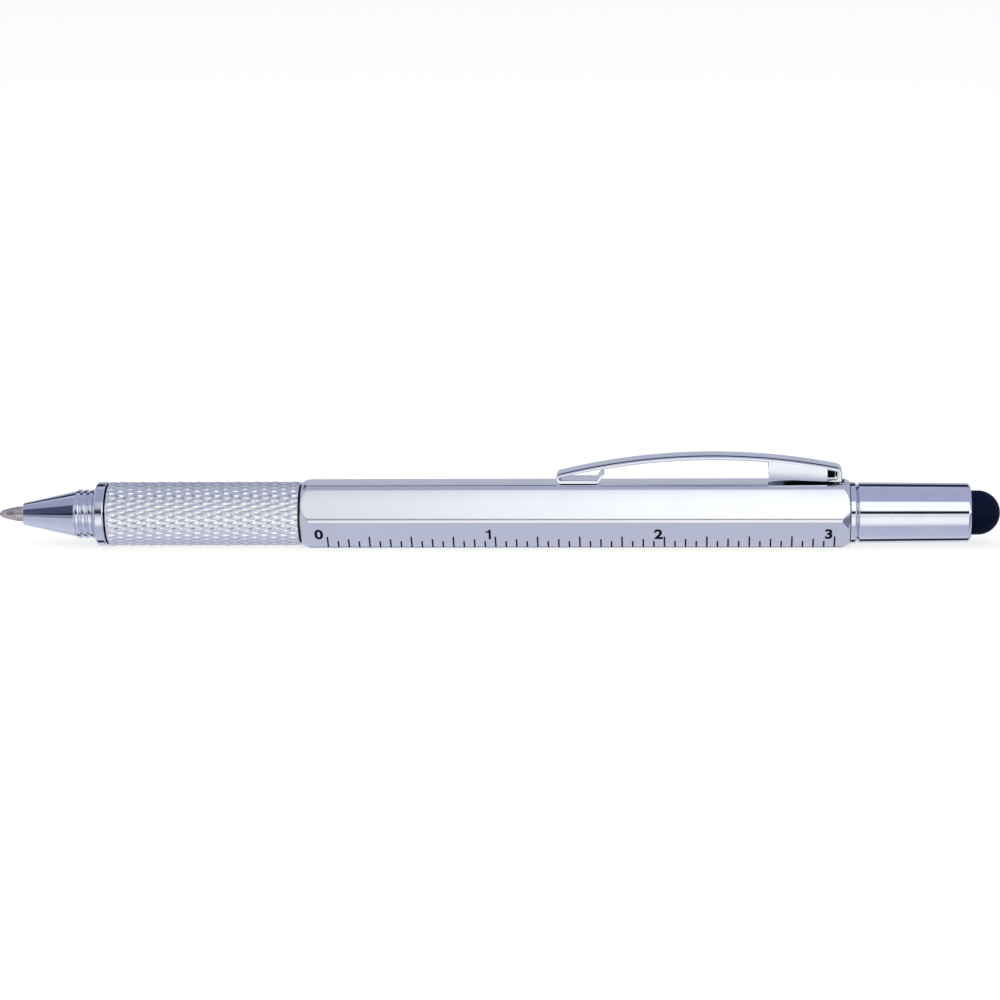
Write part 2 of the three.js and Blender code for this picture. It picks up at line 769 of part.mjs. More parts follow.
function stylusPlug() {
  const studRadius = stylusInside - stylusStudGap;
  return turned([
    [plugRear - stylusPlugLength, 0],
    [plugRear - stylusPlugLength, capBore - pressGap],
    [plugRear, capBore - pressGap],
    [plugRear, studRadius],
    [domeMiddle, studRadius],
    [domeMiddle + edgeBreak, studRadius - edgeBreak],
    [domeMiddle + edgeBreak, 0],
  ]);
}

// Clip: the arm's arc runs into the front fold, which lies on the barrel
const restLine = barrelTop + clipRest + clipThickness / 2;
const armRadius = clipArcRadius - clipThickness / 2;
const frontAngle = Math.asin(clipFrontReach / clipArcRadius);
const foldHeight = restLine + clipFoldRadius;
const armMiddle = [highStation, foldHeight - (armRadius - clipFoldRadius) * Math.cos(frontAngle)];

// The strip's middle line, from the tongue's free end round the front fold, along the arm, down the leg
function clipLine() {
  const foldStation = highStation - (armRadius - clipFoldRadius) * Math.sin(frontAngle);
  const rearAngle = Math.asin((legStation - highStation - clipBendRadius) / (armRadius - clipBendRadius));
  const bendHeight = armMiddle[1] + (armRadius - clipBendRadius) * Math.cos(rearAngle);
  const bendStation = legStation - clipBendRadius;
  const tongueRear = foldStation + tongueLength;
  const tongueMiddle = [tongueRear, restLine + tongueBendRadius];
  const upward = arc(tongueMiddle, tongueBendRadius, -sixth / 2, -Math.PI / 2, bendSteps);
  const foldMiddle = [foldStation, foldHeight];
  const free = [upward[0][0] + tongueRise * Math.cos(sixth), upward[0][1] + tongueRise * Math.sin(sixth)];
  return [
    free,
    ...upward,
    ...arc(foldMiddle, clipFoldRadius, -Math.PI / 2, -1.5 * Math.PI + frontAngle, 2 * bendSteps),
    ...arc(armMiddle, armRadius, Math.PI / 2 + frontAngle, Math.PI / 2 - rearAngle, armSteps).slice(1),
    ...arc([bendStation, bendHeight], clipBendRadius, Math.PI / 2 - rearAngle, 0, bendSteps).slice(1),
    [legStation, barrelTop + clipRest],
  ];
}

// Thickens a middle line into a closed outline, each point moved along its own normal.
function stripOutline(line, thickness) {
  const side = (sign) => line.map(([x, y], i) => {
    const [x0, y0] = line[Math.max(i - 1, 0)];
    const [x1, y1] = line[Math.min(i + 1, line.length - 1)];
    const length = Math.hypot(x1 - x0, y1 - y0);
    return [x - (sign * thickness * (y1 - y0)) / length / 2, y + (sign * thickness * (x1 - x0)) / length / 2];
  });
  return [...side(1), ...side(-1).reverse()];
}

function pocketClip() {
  const strip = sidePlate(stripOutline(clipLine(), clipThickness), clipWidth);
  const armHeight = (station) => armMiddle[1] + Math.sqrt(armRadius ** 2 - (station - highStation) ** 2);
  const [earFrom, earTo] = [barrelRear - earFrontSetBack, barrelRear - earRearSetBack];
  const earOutline = [
    [earFrom, barrelTop + earFrontLift],
    [earTo, barrelTop + earRearLift],
    [earTo, armHeight(earTo)],
    [(earFrom + earTo) / 2, armHeight((earFrom + earTo) / 2)],
    [earFrom, armHeight(earFrom)],
  ];
  const earMiddle = clipWidth / 2 - earInset - earWall / 2;
  const ears = [1, -1].map((side) => sidePlate(earOutline, earWall, side * earMiddle));
  const [legFrom, legTo] = [legStation - clipThickness / 2, legStation + clipThickness / 2];
  const footLow = footTop - footThickness;
  const tab = box([legFrom, -tabWidth / 2, footLow], [legTo, tabWidth / 2, barrelTop + clipThickness]);
  const foot = box([footFront, -tabWidth / 2, footLow], [legTo, tabWidth / 2, footTop]);
  return join(strip, ...ears, tab, foot);
}

add("writing_ball", writingBall(), steel);
add("refill_tip", refillTip(), nickelSilver);
add("refill_tube", refillTube(), whitePlastic);
add("ink_column", inkColumn(), inkBlue);
add("nose_cone", noseCone(), chrome);
add("grip_sleeve", gripSleeve(), satinSilver);
add("return_spring", returnSpring(), steel);
add("cam_tube", camTube(), brass);
add("snap_ring", snapRing(), steel);
add("plunger", plunger(), whitePlastic);
add("guide_sleeve", guideSleeve(), whitePlastic);
add("barrel_bush", barrelBush(), blackPlastic);
add("hex_barrel", hexBarrel(), satinSilver);
add("level_cradle", levelCradle(), whitePlastic);
add("level_vial", levelVial(), clearPlastic, levelAxis);
add("level_liquid", levelLiquid(), levelLiquidTint, levelAxis);
add("vial_plug", vialPlug(), whitePlastic, levelAxis);
add("rear_collar", rearCollar(), chrome);
add("bit_socket", bitSocket(), steel);
add("screwdriver_bit", screwdriverBit(), steel);
add("cap_tube", capTube(), chrome);
add("cap_liner", capLiner(), brass);
add("stylus_tip", stylusTip(), rubber);
add("stylus_plug", stylusPlug(), blackPlastic);
add("pocket_clip", pocketClip(), chrome);

export default pen;
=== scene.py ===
# %% [markdown]
# # A multi tool pen, dressed around its CAD frame
#
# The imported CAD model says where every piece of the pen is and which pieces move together.
# This lesson builds the surfaces that the eye sees around it: a chromed nose, a knurled grip,
# a satin hexagon barrel with a printed ruler, a sprung clip, a cap and a rubber stylus.

import bmesh
import bpy
import numpy as np
from mathutils import Matrix, Vector


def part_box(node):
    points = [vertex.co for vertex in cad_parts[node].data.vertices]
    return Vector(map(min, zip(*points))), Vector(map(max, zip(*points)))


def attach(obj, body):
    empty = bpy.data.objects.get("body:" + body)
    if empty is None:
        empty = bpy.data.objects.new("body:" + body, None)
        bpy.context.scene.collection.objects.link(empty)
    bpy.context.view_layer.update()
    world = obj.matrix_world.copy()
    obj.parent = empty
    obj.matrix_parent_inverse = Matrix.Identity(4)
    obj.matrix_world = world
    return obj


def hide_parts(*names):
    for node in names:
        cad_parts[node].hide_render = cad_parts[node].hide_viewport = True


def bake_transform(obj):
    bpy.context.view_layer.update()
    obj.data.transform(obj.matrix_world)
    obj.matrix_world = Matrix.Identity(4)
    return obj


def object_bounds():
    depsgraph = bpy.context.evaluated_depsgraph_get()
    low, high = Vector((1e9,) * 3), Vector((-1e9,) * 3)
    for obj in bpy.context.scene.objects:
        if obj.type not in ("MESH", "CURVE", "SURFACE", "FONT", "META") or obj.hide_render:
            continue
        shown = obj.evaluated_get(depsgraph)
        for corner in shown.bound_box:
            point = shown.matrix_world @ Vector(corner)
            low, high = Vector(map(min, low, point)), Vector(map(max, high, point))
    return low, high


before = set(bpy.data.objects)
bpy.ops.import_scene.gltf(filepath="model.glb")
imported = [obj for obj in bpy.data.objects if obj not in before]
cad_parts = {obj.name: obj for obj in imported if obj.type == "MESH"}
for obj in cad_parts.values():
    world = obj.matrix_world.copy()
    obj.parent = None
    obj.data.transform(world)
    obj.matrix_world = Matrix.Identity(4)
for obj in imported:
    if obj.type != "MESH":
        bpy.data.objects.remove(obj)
cad_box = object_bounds()
print("CAD box in mm:", [[round(v * 1000, 2) for v in corner] for corner in cad_box])

# %% [markdown]
# ## Pen coordinates
#
# A pen is turned and drawn along its own axis, so every shape here is given in three numbers:
# the station along the pen from the writing point, the distance across it, and the height
# above its axis, all in millimetres. One function carries such points into the frame's metres.
# Where a piece begins and ends is read from the frame, so it can't drift from the CAD.

# %% Pen coordinates
MM = 0.001
writing_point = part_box("writing_ball")[0].x
axis_height = sum(corner.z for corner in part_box("cap_tube")) / 2


def to_frame(points):
    """Pen coordinates in mm to the frame: station + writing point, across, height + axis."""
    return np.asarray(points, float) * MM + (writing_point, 0, axis_height)


def span(node):
    """The stations in mm where a CAD node begins and ends."""
    low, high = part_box(node)
    return (low.x - writing_point) / MM, (high.x - writing_point) / MM


def reach(node):
    """The largest distance in mm of a turned CAD node from the pen's axis."""
    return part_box(node)[1].y / MM


for name in ("nose_cone", "grip_sleeve", "hex_barrel", "cap_tube", "stylus_tip"):
    print(name, "from %.2f to %.2f mm" % span(name), "radius %.2f mm" % reach(name))

# %% [markdown]
# ## Surfaces as grids
#
# Nearly every new piece is a grid of points: rows run along a profile or a path, columns run round
# it. numpy works out all points at once, and the same rule then joins neighbours to quads.
# Rows run so that the quads' corners go round anticlockwise seen from outside.

# %% From a grid to a piece
WELD = 2e-4  # mm, points nearer to each other than this become one
SHARP = 42  # degrees, an edge that turns by more than this stays sharp


def grid_quads(rows, columns, closed_rows):
    """Corner numbers of all quads: (i, j), (i, j+1), (i+1, j+1), (i+1, j), columns closed."""
    i, j = np.meshgrid(np.arange(rows if closed_rows else rows - 1), np.arange(columns), indexing="ij")
    down, right = (i + 1) % rows, (j + 1) % columns
    return np.stack([i * columns + j, i * columns + right, down * columns + right, down * columns + j], -1)


def put_in_scene(name, data):
    """An object that shows a mesh, a lamp or a camera."""
    made = bpy.data.objects.new(name, data)
    bpy.context.scene.collection.objects.link(made)
    return made


def piece(name, points, faces, body, material, slot, replaces=(), sharp=SHARP, recess=None):
    """Joins points in pen coordinates to one closed mesh, welds its poles, and puts it on its body.
    recess is a function of the faces' middles that says which of them get painted shade, a near black colour
    where shade falls.
    body is None for a piece that is put on no body."""
    points, faces = np.asarray(points).reshape(-1, 3), np.asarray(faces).reshape(-1, np.shape(faces)[-1])
    mesh = bpy.data.meshes.new(name)
    mesh.from_pydata(to_frame(points), [], faces)
    mesh.materials.append(material)
    # Faces the recess mask picks get painted shade, a near black colour where shade falls.
    if recess:
        mesh.materials.append(painted_recess_shade)
        mesh.polygons.foreach_set("material_index", recess(points[faces].mean(1)).astype(np.int32))
    shell = bmesh.new()
    shell.from_mesh(mesh)
    bmesh.ops.remove_doubles(shell, verts=shell.verts, dist=WELD * MM)
    shell.to_mesh(mesh)
    shell.free()
    mesh.shade_smooth()
    mesh.set_sharp_from_angle(angle=np.radians(sharp))
    made = put_in_scene(name, mesh)
    if body:
        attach(made, body)
    if replaces:
        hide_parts(*replaces)
    print(name, "has", sum(len(p.vertices) - 2 for p in mesh.polygons), "triangles")
    return made


# %% [markdown]
# ## Turned shapes
#
# A lathe cuts a profile while the work turns, and no real edge on it is knife sharp: each is
# broken or polished round. So a profile's corners are replaced by small arcs before it is
# turned. The arc is what catches a thin line of light along each edge.

# %% Profiles with broken edges
BROKEN_EDGE = 0.08  # mm, the usual rounding of a turned and polished edge
MOST_OF_SIDE = 0.4  # no arc takes a larger share of a side than this
BESIDE_ARC = 0.25  # how far beyond an arc, in its own size, lie the points that keep the sides flat
SIDES = 128  # columns of a turned piece where nothing else is said


def rounded(corners, fillet=BROKEN_EDGE, steps=4):
    """Replaces each corner of a closed outline by a curve (1-u)^2 A + 2u(1-u) P + u^2 B between
    points A and B on its two sides, and adds one point on each side to keep the sides flat.
    A corner may give its own rounding as a third number."""
    p = np.array([c[:2] for c in corners], float)
    want = np.array([c[2] if len(c) > 2 else fillet for c in corners], float)
    back, ahead = np.roll(p, 1, 0) - p, np.roll(p, -1, 0) - p
    lengths = np.stack([np.hypot(*back.T), np.hypot(*ahead.T)])
    take = np.minimum(want, MOST_OF_SIDE * lengths.min(0))[:, None]
    a, b = p + back / lengths[0][:, None] * take, p + ahead / lengths[1][:, None] * take
    u = np.linspace(0, 1, steps + 1)[None, :, None]
    curve = (1 - u) ** 2 * a[:, None] + 2 * u * (1 - u) * p[:, None] + u**2 * b[:, None]
    before, after = a + (a - p) * BESIDE_ARC, b + (b - p) * BESIDE_ARC
    return np.concatenate([before[:, None], curve, after[:, None]], 1).reshape(-1, 2)


def drawn_out(profile, start, end, step):
    """Adds points along the sides of a profile between two stations, so that threads, a knurl or a
    dent have points to move there."""
    ahead = np.roll(profile, -1, 0)
    long = (np.minimum(profile[:, 0], ahead[:, 0]) <= start + step) & (
        np.maximum(profile[:, 0], ahead[:, 0]) >= end - step)
    counts = np.where(long, np.ceil((end - start) / step), 1).astype(int)
    index = np.repeat(np.arange(len(profile)), counts)
    share = np.concatenate([np.arange(n) / n for n in counts])[:, None]
    return profile[index] * (1 - share) + ahead[index] * share


def revolved(profile, sides):
    """Carries each (station, radius) round the axis: across = r cos a, height = r sin a."""
    s, r = np.asarray(profile).T
    area = np.sum(s * np.roll(r, -1) - np.roll(s, -1) * r)
    if area > 0:  # run so that the outside is passed with growing station
        s, r = s[::-1], r[::-1]
    a = np.linspace(0, 2 * np.pi, sides, endpoint=False)
    return np.stack([np.repeat(s[:, None], sides, 1), np.outer(r, np.cos(a)), np.outer(r, np.sin(a))], -1)


def turned(name, profile, body, material, slot, replaces=(), sides=SIDES, shape=None, **more):
    """Turns a closed profile of (station, radius) into a piece; shape may change its points."""
    points = revolved(profile, sides)
    if shape:
        points = shape(points)
    return piece(name, points, grid_quads(len(points), sides, True), body, material, slot, replaces, **more)


# %% [markdown]
# ## Finishes
#
# Colours are written as the sRGB hex values a colour picker would show, and one function turns
# them to the linear numbers that Blender's shaders work in. One more small function adds a node,
# sets it, and links what goes into it, so a finish reads as a short list of nodes. Every finish
# here ends alike: one pattern picks its colour, one spreads its roughness, and one lifts its
# surface. The last function takes that up.

# %% Colour and node helpers
PER_METRE = 1000  # a pattern of one cycle per mm, read in the frame's metres


def colour(code):
    """sRGB hex to linear: v/12.92 below 0.04045, else ((v + 0.055) / 1.055) ^ 2.4."""
    v = np.array([int(code[i:i + 2], 16) for i in (0, 2, 4)]) / 255
    return (*np.where(v <= 0.04045, v / 12.92, ((v + 0.055) / 1.055) ** 2.4), 1.0)


def node(tree, kind, inputs=None, stops=(), **settings):
    """Adds a node; each input is a socket to link or a value to set, and the stops of a colour
    ramp are pairs of (place, hex colour)."""
    made = tree.nodes.new("ShaderNode" + kind)
    for name, value in settings.items():
        setattr(made, name, value)
    for name, value in (inputs or {}).items():
        if isinstance(value, bpy.types.NodeSocket):
            tree.links.new(value, made.inputs[name])
        else:
            made.inputs[name].default_value = value
    for place, code in stops[2:]:  # a new ramp has two stops already
        made.color_ramp.elements.new(place)
    if stops:
        for element, (place, code) in zip(made.color_ramp.elements, stops):
            element.position, element.color = place, colour(code)
    return made


def finish(name, **principled):
    """An empty material with Object coordinates and a Principled shader set to the given values."""
    material = bpy.data.materials.new(name)
    material.use_nodes = True
    tree = material.node_tree
    tree.nodes.clear()
    where = node(tree, "TexCoord").outputs["Object"]
    shader = node(tree, "BsdfPrincipled", {k.replace("_", " "): v for k, v in principled.items()})
    node(tree, "OutputMaterial", {"Surface": shader.outputs[0]})
    return material, tree, where, shader


def driven(tree, shader, picks, colours, spreads, roughness, lifts, depth_mm, part=(0.3, 0.7), strength=1.0):
    """Links three patterns to a shader: one picks from a ramp of colours, one spreads the roughness
    over the part of 0 to 1 that noise really fills, and one lifts the surface by a depth in mm."""
    ramp = node(tree, "ValToRGB", {"Fac": picks}, stops=colours)
    rough = node(tree, "MapRange", {"Value": spreads, "From Min": part[0], "From Max": part[1],
                                    "To Min": roughness[0], "To Max": roughness[1]})
    bump = node(tree, "Bump", {"Height": lifts, "Distance": depth_mm * MM, "Strength": strength})
    for made, socket in ((ramp, "Base Color"), (rough, "Roughness"), (bump, "Normal")):
        tree.links.new(made.outputs[0], shader.inputs[socket])


# %% [markdown]
# ## Chrome plate
#
# The nose, collar, cap and clip are brass or spring steel under bright chrome. Chrome reflects
# nearly everything and is faintly blue. What tells it from a computer's mirror is that polished
# metal is never quite flat: a long, shallow wave bends each reflected line, and handling leaves
# a breath of haze. Both come from noise, at the size of the polishing mop's marks.

# %% Chrome plate, polished
HAZE_MM = 3.0


def bright_metal(name, pale, deep, smooth, hazy, wave_mm, depth_mm):
    """Metal with cloudy haze between two roughnesses and a shallow wave of a real size."""
    material, tree, where, shader = finish(name, Metallic=1.0)
    cloud = node(tree, "TexNoise", {"Vector": where, "Scale": PER_METRE / HAZE_MM, "Detail": 3.0}).outputs[0]
    wave = node(tree, "TexNoise", {"Vector": where, "Scale": PER_METRE / wave_mm, "Detail": 1.0}).outputs[0]
    driven(tree, shader, cloud, ((0.3, deep), (0.65, pale)), cloud, (smooth, hazy), wave, depth_mm,
           part=(0.35, 0.7))
    return material


chrome_plate = bright_metal("chrome_plate_polished", "E6E9F4", "DFE3F0", 0.035, 0.075, 2.6, 0.004)

# %% [markdown]
# ## Satin anodised aluminium
#
# The barrel is an extruded hexagon, blasted with fine beads and anodised clear. The blast leaves
# pits of about 0.05 mm, which spread each reflection into a soft sheen and give it the finest
# grain. The pits are drawn at 0.12 mm here, because smaller ones vanish at this distance.

# %% Satin anodised aluminium, bead blasted
PITS_MM, PIT_DEPTH_MM, DRIFT_MM = 0.12, 0.0008, 6.0


def satin_metal():
    """Bead-blast pits as fine noise bump, with slow drifts of roughness along the bar."""
    material, tree, where, shader = finish("aluminium_satin_anodised", Metallic=1.0)
    pits = node(tree, "TexNoise", {"Vector": where, "Scale": PER_METRE / PITS_MM, "Detail": 2.0,
                                   "Roughness": 0.6}).outputs[0]
    drift = node(tree, "TexNoise", {"Vector": where, "Scale": PER_METRE / DRIFT_MM, "Detail": 4.0}).outputs[0]
    driven(tree, shader, pits, ((0.3, "E8EAF0"), (0.7, "F0F2F7")), drift, (0.16, 0.2), pits, PIT_DEPTH_MM)
    return material


satin_aluminium = satin_metal()

# %% [markdown]
# ## Turned and drawn metals
#
# The refill's point is nickel silver, a copper alloy with a warm grey, and keeps the fine rings
# of the lathe. The bit is nickel plated tool steel, the mechanism's tube is brass. Painted shade,
# a near black steel colour, darkens the bottom of a groove and the inside of a fold, where shade falls.
# One function makes them all: rings along the axis, drawn at the size they need to show. The
# knurled sleeve is brass under satin chrome, which is the chrome above with a duller skin.

# %% Turned metals
WAVE_PERIOD = 0.314  # a wave texture of scale 1 repeats about every 2 pi / 20
CLOUD_MM = 1.5


def turned_metal(name, pale, deep, roughness, ring_mm, depth_mm):
    """Metal with lathe rings: a wave along the pen of a real spacing drives bump and colour."""
    material, tree, where, shader = finish(name, Metallic=1.0)
    rings = node(tree, "TexWave", {"Vector": where, "Scale": WAVE_PERIOD * PER_METRE / ring_mm,
                                   "Distortion": 1.5, "Detail": 2.0}, bands_direction="X").outputs["Fac"]
    cloud = node(tree, "TexNoise", {"Vector": where, "Scale": PER_METRE / CLOUD_MM, "Detail": 3.0}).outputs[0]
    driven(tree, shader, rings, ((0.0, deep), (1.0, pale)), cloud, (roughness * 0.8, roughness * 1.25),
           rings, depth_mm, strength=0.6)
    return material


nickel_silver = turned_metal("nickel_silver_turned", "DDD3D0", "CBC0BD", 0.26, 0.24, 0.0015)
carbide = turned_metal("tungsten_carbide_ball", "9A9793", "84817D", 0.15, 0.3, 0.0005)
spring_steel = turned_metal("spring_steel_drawn", "C9CBD0", "A9ABB0", 0.22, 0.4, 0.001)
tool_steel = turned_metal("tool_steel_nickel_plated", "B4B6BA", "9B9DA1", 0.3, 0.35, 0.002)
brass = turned_metal("brass_turned", "DDBE77", "C29C4E", 0.24, 0.3, 0.002)
# Painted shade: a near black colour for groove bottoms, seams and the clip's insides, where shade falls.
painted_recess_shade = turned_metal("painted_shade_dark_steel", "1B1C24", "121319", 0.45, 0.3, 0.001)
knurled_metal = bright_metal("brass_knurled_satin_chrome", "FCFCFF", "F8F9FE", 0.2, 0.25, 0.5, 0.002)

# %% [markdown]
# ## Plastics, rubber, ink and the level's liquid
#
# Moulded plastic has a faint grain from its mould. Acetal is milky and lets light in a little,
# ABS is glossy black, the stylus is silicone rubber filled with carbon, near black with a blue
# cast and a dull skin. The level's liquid is clear and tinted yellow green, and a faint painted
# glow, an emission though it is no lamp, stands in for the light that reaches it inside the vial.

# %% Moulded materials
PATCH_MM = 2.2


def moulded(name, pale, deep, grain_mm, depth_mm, smooth, dull, **principled):
    """Plastic or rubber: noise of a real grain size lifts the skin, and wide patches mottle its
    colour and roughness."""
    material, tree, where, shader = finish(name, **principled)
    grain = node(tree, "TexNoise", {"Vector": where, "Scale": PER_METRE / grain_mm, "Detail": 3.0}).outputs[0]
    patch = node(tree, "TexNoise", {"Vector": where, "Scale": PER_METRE / PATCH_MM, "Detail": 2.0}).outputs[0]
    driven(tree, shader, patch, ((0.3, deep), (0.7, pale)), patch, (smooth, dull), grain, depth_mm)
    return material


acetal = moulded("acetal_moulded_white", "EEEDE8", "E4E3DD", 0.25, 0.003, 0.38, 0.5, IOR=1.48,
                 Subsurface_Weight=0.15, Subsurface_Scale=0.0004)
black_abs = moulded("abs_moulded_black", "17181D", "0D0E12", 0.2, 0.002, 0.28, 0.4, IOR=1.53)
silicone = moulded("silicone_rubber_carbon_filled", "06122E", "040D24", 0.14, 0.004, 0.5, 0.62, IOR=1.16)
ink_paste = moulded("ballpoint_ink_paste", "1B2C7A", "111D5C", 0.4, 0.002, 0.3, 0.4, IOR=1.5)
printing_ink = moulded("printing_ink_baked", "04051C", "020312", 0.1, 0.001, 0.6, 0.7, IOR=1.3)
acrylic = moulded("acrylic_moulded_clear", "F4FAFA", "EEF6F6", 1.2, 0.001, 0.02, 0.05, IOR=1.49,
                  Transmission_Weight=0.95)
# Painted light: the liquid's faint emission keeps it bright inside the vial.
level_liquid = moulded("level_liquid_tinted_painted_glow", "EDFB96", "E4F582", 1.5, 0.001, 0.02, 0.04, IOR=1.36,
                       Transmission_Weight=0.9, Emission_Color=colour("C6E83A"), Emission_Strength=0.3)

# %% [markdown]
# ## The CAD nodes that stay
#
# Deep inside the pen the CAD solids already have the right shape, so they keep their meshes and
# only get these finishes in place of their flat colours.

# %% Finishes for the CAD nodes that stay
KEPT = {
    "ink_column": ink_paste, "cam_tube": brass, "snap_ring": spring_steel, "plunger": acetal,
    "guide_sleeve": acetal, "level_cradle": acetal, "vial_plug": acetal, "bit_socket": tool_steel,
    "cap_liner": brass, "stylus_plug": black_abs,
}
for name, material in KEPT.items():
    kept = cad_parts[name]
    kept.data.materials.clear()
    kept.data.materials.append(material)
print(len(KEPT), "CAD nodes keep their shape")

# %% [markdown]
# ## Refill
#
# The refill is the standard short metal one. Its point is a cone that was turned and then rolled
# over a carbide ball of 0.7 mm, which leaves a thin bright rim in front. Behind it, the tube has
# a crimped collar that the return spring pushes on.

# %% Writing ball, point and tube
REFILL_RADIUS, REFILL_BORE, TAIL_RADIUS, INK_WAY = 1.175, 0.815, 0.785, 0.25
BALL_SEAT, RIM, POINT_END = 0.4, 0.07, 10.0
CRIMP_RADIUS, CRIMP_LENGTH, CRIMP_GAP = 1.9, 0.8, 0.04


def along_arc(middle, radius, start, end, steps):
    """Points middle + radius * (sin d, cos d), for directions d in radians from start to end."""
    d = np.linspace(start, end, steps + 1)
    return np.stack([middle[0] + radius * np.sin(d), middle[1] + radius * np.cos(d)], 1)


ball_front, ball_rear = span("writing_ball")
ball_radius = (ball_rear - ball_front) / 2
ball_outline = along_arc((ball_front + ball_radius, 0), ball_radius, -np.pi / 2, np.pi / 2, 16)
turned("writing_ball_carbide", ball_outline, "refill", carbide, "steel", ["writing_ball"], sides=40)

tip_front, tip_rear = span("refill_tip")
seat_end = 2 * ball_radius + 0.05
refill_point = rounded([
    (tip_front, BALL_SEAT), (tip_front, BALL_SEAT + RIM, 0.03), (1.2, 0.79, 0.5), (2.5, 1.05, 0.04),
    (2.56, 1.1, 0.04), (3.6, 1.15, 0.3), (POINT_END - 1, REFILL_RADIUS, 0.3),
    (POINT_END, REFILL_RADIUS, 0.05), (POINT_END, TAIL_RADIUS), (tip_rear, TAIL_RADIUS), (tip_rear, INK_WAY),
    (seat_end, INK_WAY), (seat_end, BALL_SEAT),
])
turned("refill_point_turned", refill_point, "refill", nickel_silver, "nickel_silver", ["refill_tip"],
       sides=96)

tube_front, tube_rear = span("refill_tube")
crimp_front = span("return_spring")[1] + CRIMP_GAP
crimp_rear = crimp_front + CRIMP_LENGTH
refill_tube = rounded([
    (tube_front, REFILL_BORE), (tube_front, REFILL_RADIUS), (crimp_front - 0.5, REFILL_RADIUS, 0.3),
    (crimp_front, CRIMP_RADIUS, 0.1), (crimp_rear, CRIMP_RADIUS, 0.1), (crimp_rear, REFILL_RADIUS, 0.15),
    (tube_rear, REFILL_RADIUS), (tube_rear, REFILL_BORE),
])
turned("refill_tube_crimped", refill_tube, "refill", acetal, "white_plastic", ["refill_tube"], sides=72)

# %% [markdown]
# ## Threads
#
# The nose and the rear collar carry real threads, which show when they are drawn off. A thread
# could be a swept profile, but on a grid it is simpler: the radius sinks where the phase
# station / pitch - angle / full turn is near a whole number, and it fades in at both ends. The
# knurl and the level's bubble sink the radius in the same way, so that is a function of its own.

# %% Threads on a turned surface
ON_SURFACE = 0.01  # mm, a point this near to a radius counts as on it


def sunk(points, depth):
    """Moves turned points towards the axis: radius r - depth(station, r, angle)."""
    s, y, z = np.moveaxis(points, -1, 0)
    r = np.hypot(y, z)
    share = (r - depth(s, r, np.arctan2(z, y))) / np.maximum(r, 1e-6)
    return np.stack([s, y * share, z * share], -1)


def threaded(start, end, crest, pitch, depth):
    """Radius r - depth * V(phase) * fade, for points between two stations on the crest radius. V is
    1 within a tenth of a turn of a whole phase, and falls to 0 halfway between two of them."""
    def groove(s, r, angle):
        phase = s / pitch - angle / (2 * np.pi)
        v = np.clip(1.25 - 2.5 * np.abs(phase - np.round(phase)), 0, 1)
        fade = np.clip(np.minimum(s - start, end - s) / pitch, 0, 1)
        return np.where(r > crest - ON_SURFACE, depth * v * fade, 0)
    return lambda points: sunk(points, groove)


# %% [markdown]
# ## Nose cone
#
# One brass turning under chrome: a cone, three beads, a flange as wide as the grip, and a
# threaded shank. The flange steps down just before the grip, and the eye reads that step as the
# thin dark line between the two, which painted shade on the step's bottom darkens further.

# %% Nose cone
nose_front, nose_rear = span("nose_cone")
grip_front, grip_rear = span("grip_sleeve")
GRIP_RADIUS = reach("grip_sleeve")
NOSE_BORE, NOSE_MOUTH, SPRING_BORE, SPRING_SEAT, SHANK = 1.275, 1.67, 2.2, 4.8, 3.6
CONE_LENGTH, CONE_RADIUS = 8.25, 3.5
BEADS, BEAD_PITCH, BEAD_CREST, BEAD_VALLEY = 3, 1.0, 3.72, 3.42
FLANGE = 1.85
SHADOW_STEP, SHADOW_DEPTH = 0.1, 1.0
THREAD_PITCH, THREAD_DEPTH = 0.75, 0.3

cone_rear = nose_front + CONE_LENGTH
flange_rear = grip_front - 0.02
flange_front = flange_rear - FLANGE
step_front, groove_bottom = flange_rear - SHADOW_STEP, GRIP_RADIUS - SHADOW_DEPTH
beads = [
    (cone_rear + (i + place) * BEAD_PITCH, radius, fillet)
    for i in range(BEADS)
    for place, radius, fillet in ((0.06, BEAD_VALLEY, 0.05), (0.22, BEAD_CREST, 0.16),
                                  (0.76, BEAD_CREST, 0.16), (0.92, BEAD_VALLEY, 0.05))
]
nose = rounded([
    (nose_front, NOSE_BORE, 0.05), (nose_front, NOSE_MOUTH, 0.14), (cone_rear, CONE_RADIUS, 0.06), *beads,
    (flange_front, BEAD_VALLEY, 0.05), (flange_front + 0.1, GRIP_RADIUS - 0.45, 0.12),
    (flange_front + 0.36, GRIP_RADIUS, 0.3), (step_front - 0.15, GRIP_RADIUS, 0.06),
    (step_front, GRIP_RADIUS - 0.16, 0.04), (step_front, groove_bottom, 0.02),
    (flange_rear, groove_bottom, 0.02), (flange_rear, SHANK), (nose_rear, SHANK, 0.3),
    (nose_rear, SPRING_BORE), (nose_front + SPRING_SEAT, SPRING_BORE), (nose_front + SPRING_SEAT, NOSE_BORE),
])
nose = drawn_out(nose, flange_rear + 0.5, nose_rear - 0.4, THREAD_PITCH / 8)


def beside_grip(middles):
    """Painted shade for the bottom of the groove between flange and grip: faces within 0.3 mm of its
    station, and more than 0.18 mm below the surface."""
    near = np.abs(middles[:, 0] - flange_rear) < 0.3
    return near & (np.hypot(middles[:, 1], middles[:, 2]) < GRIP_RADIUS - 0.18)


# The groove's bottom beside the grip gets painted shade.
turned("nose_cone_chromed", nose, "nose", chrome_plate, "chrome", ["nose_cone"], recess=beside_grip,
       shape=threaded(flange_rear + 0.7, nose_rear - 0.2, SHANK, THREAD_PITCH, THREAD_DEPTH))

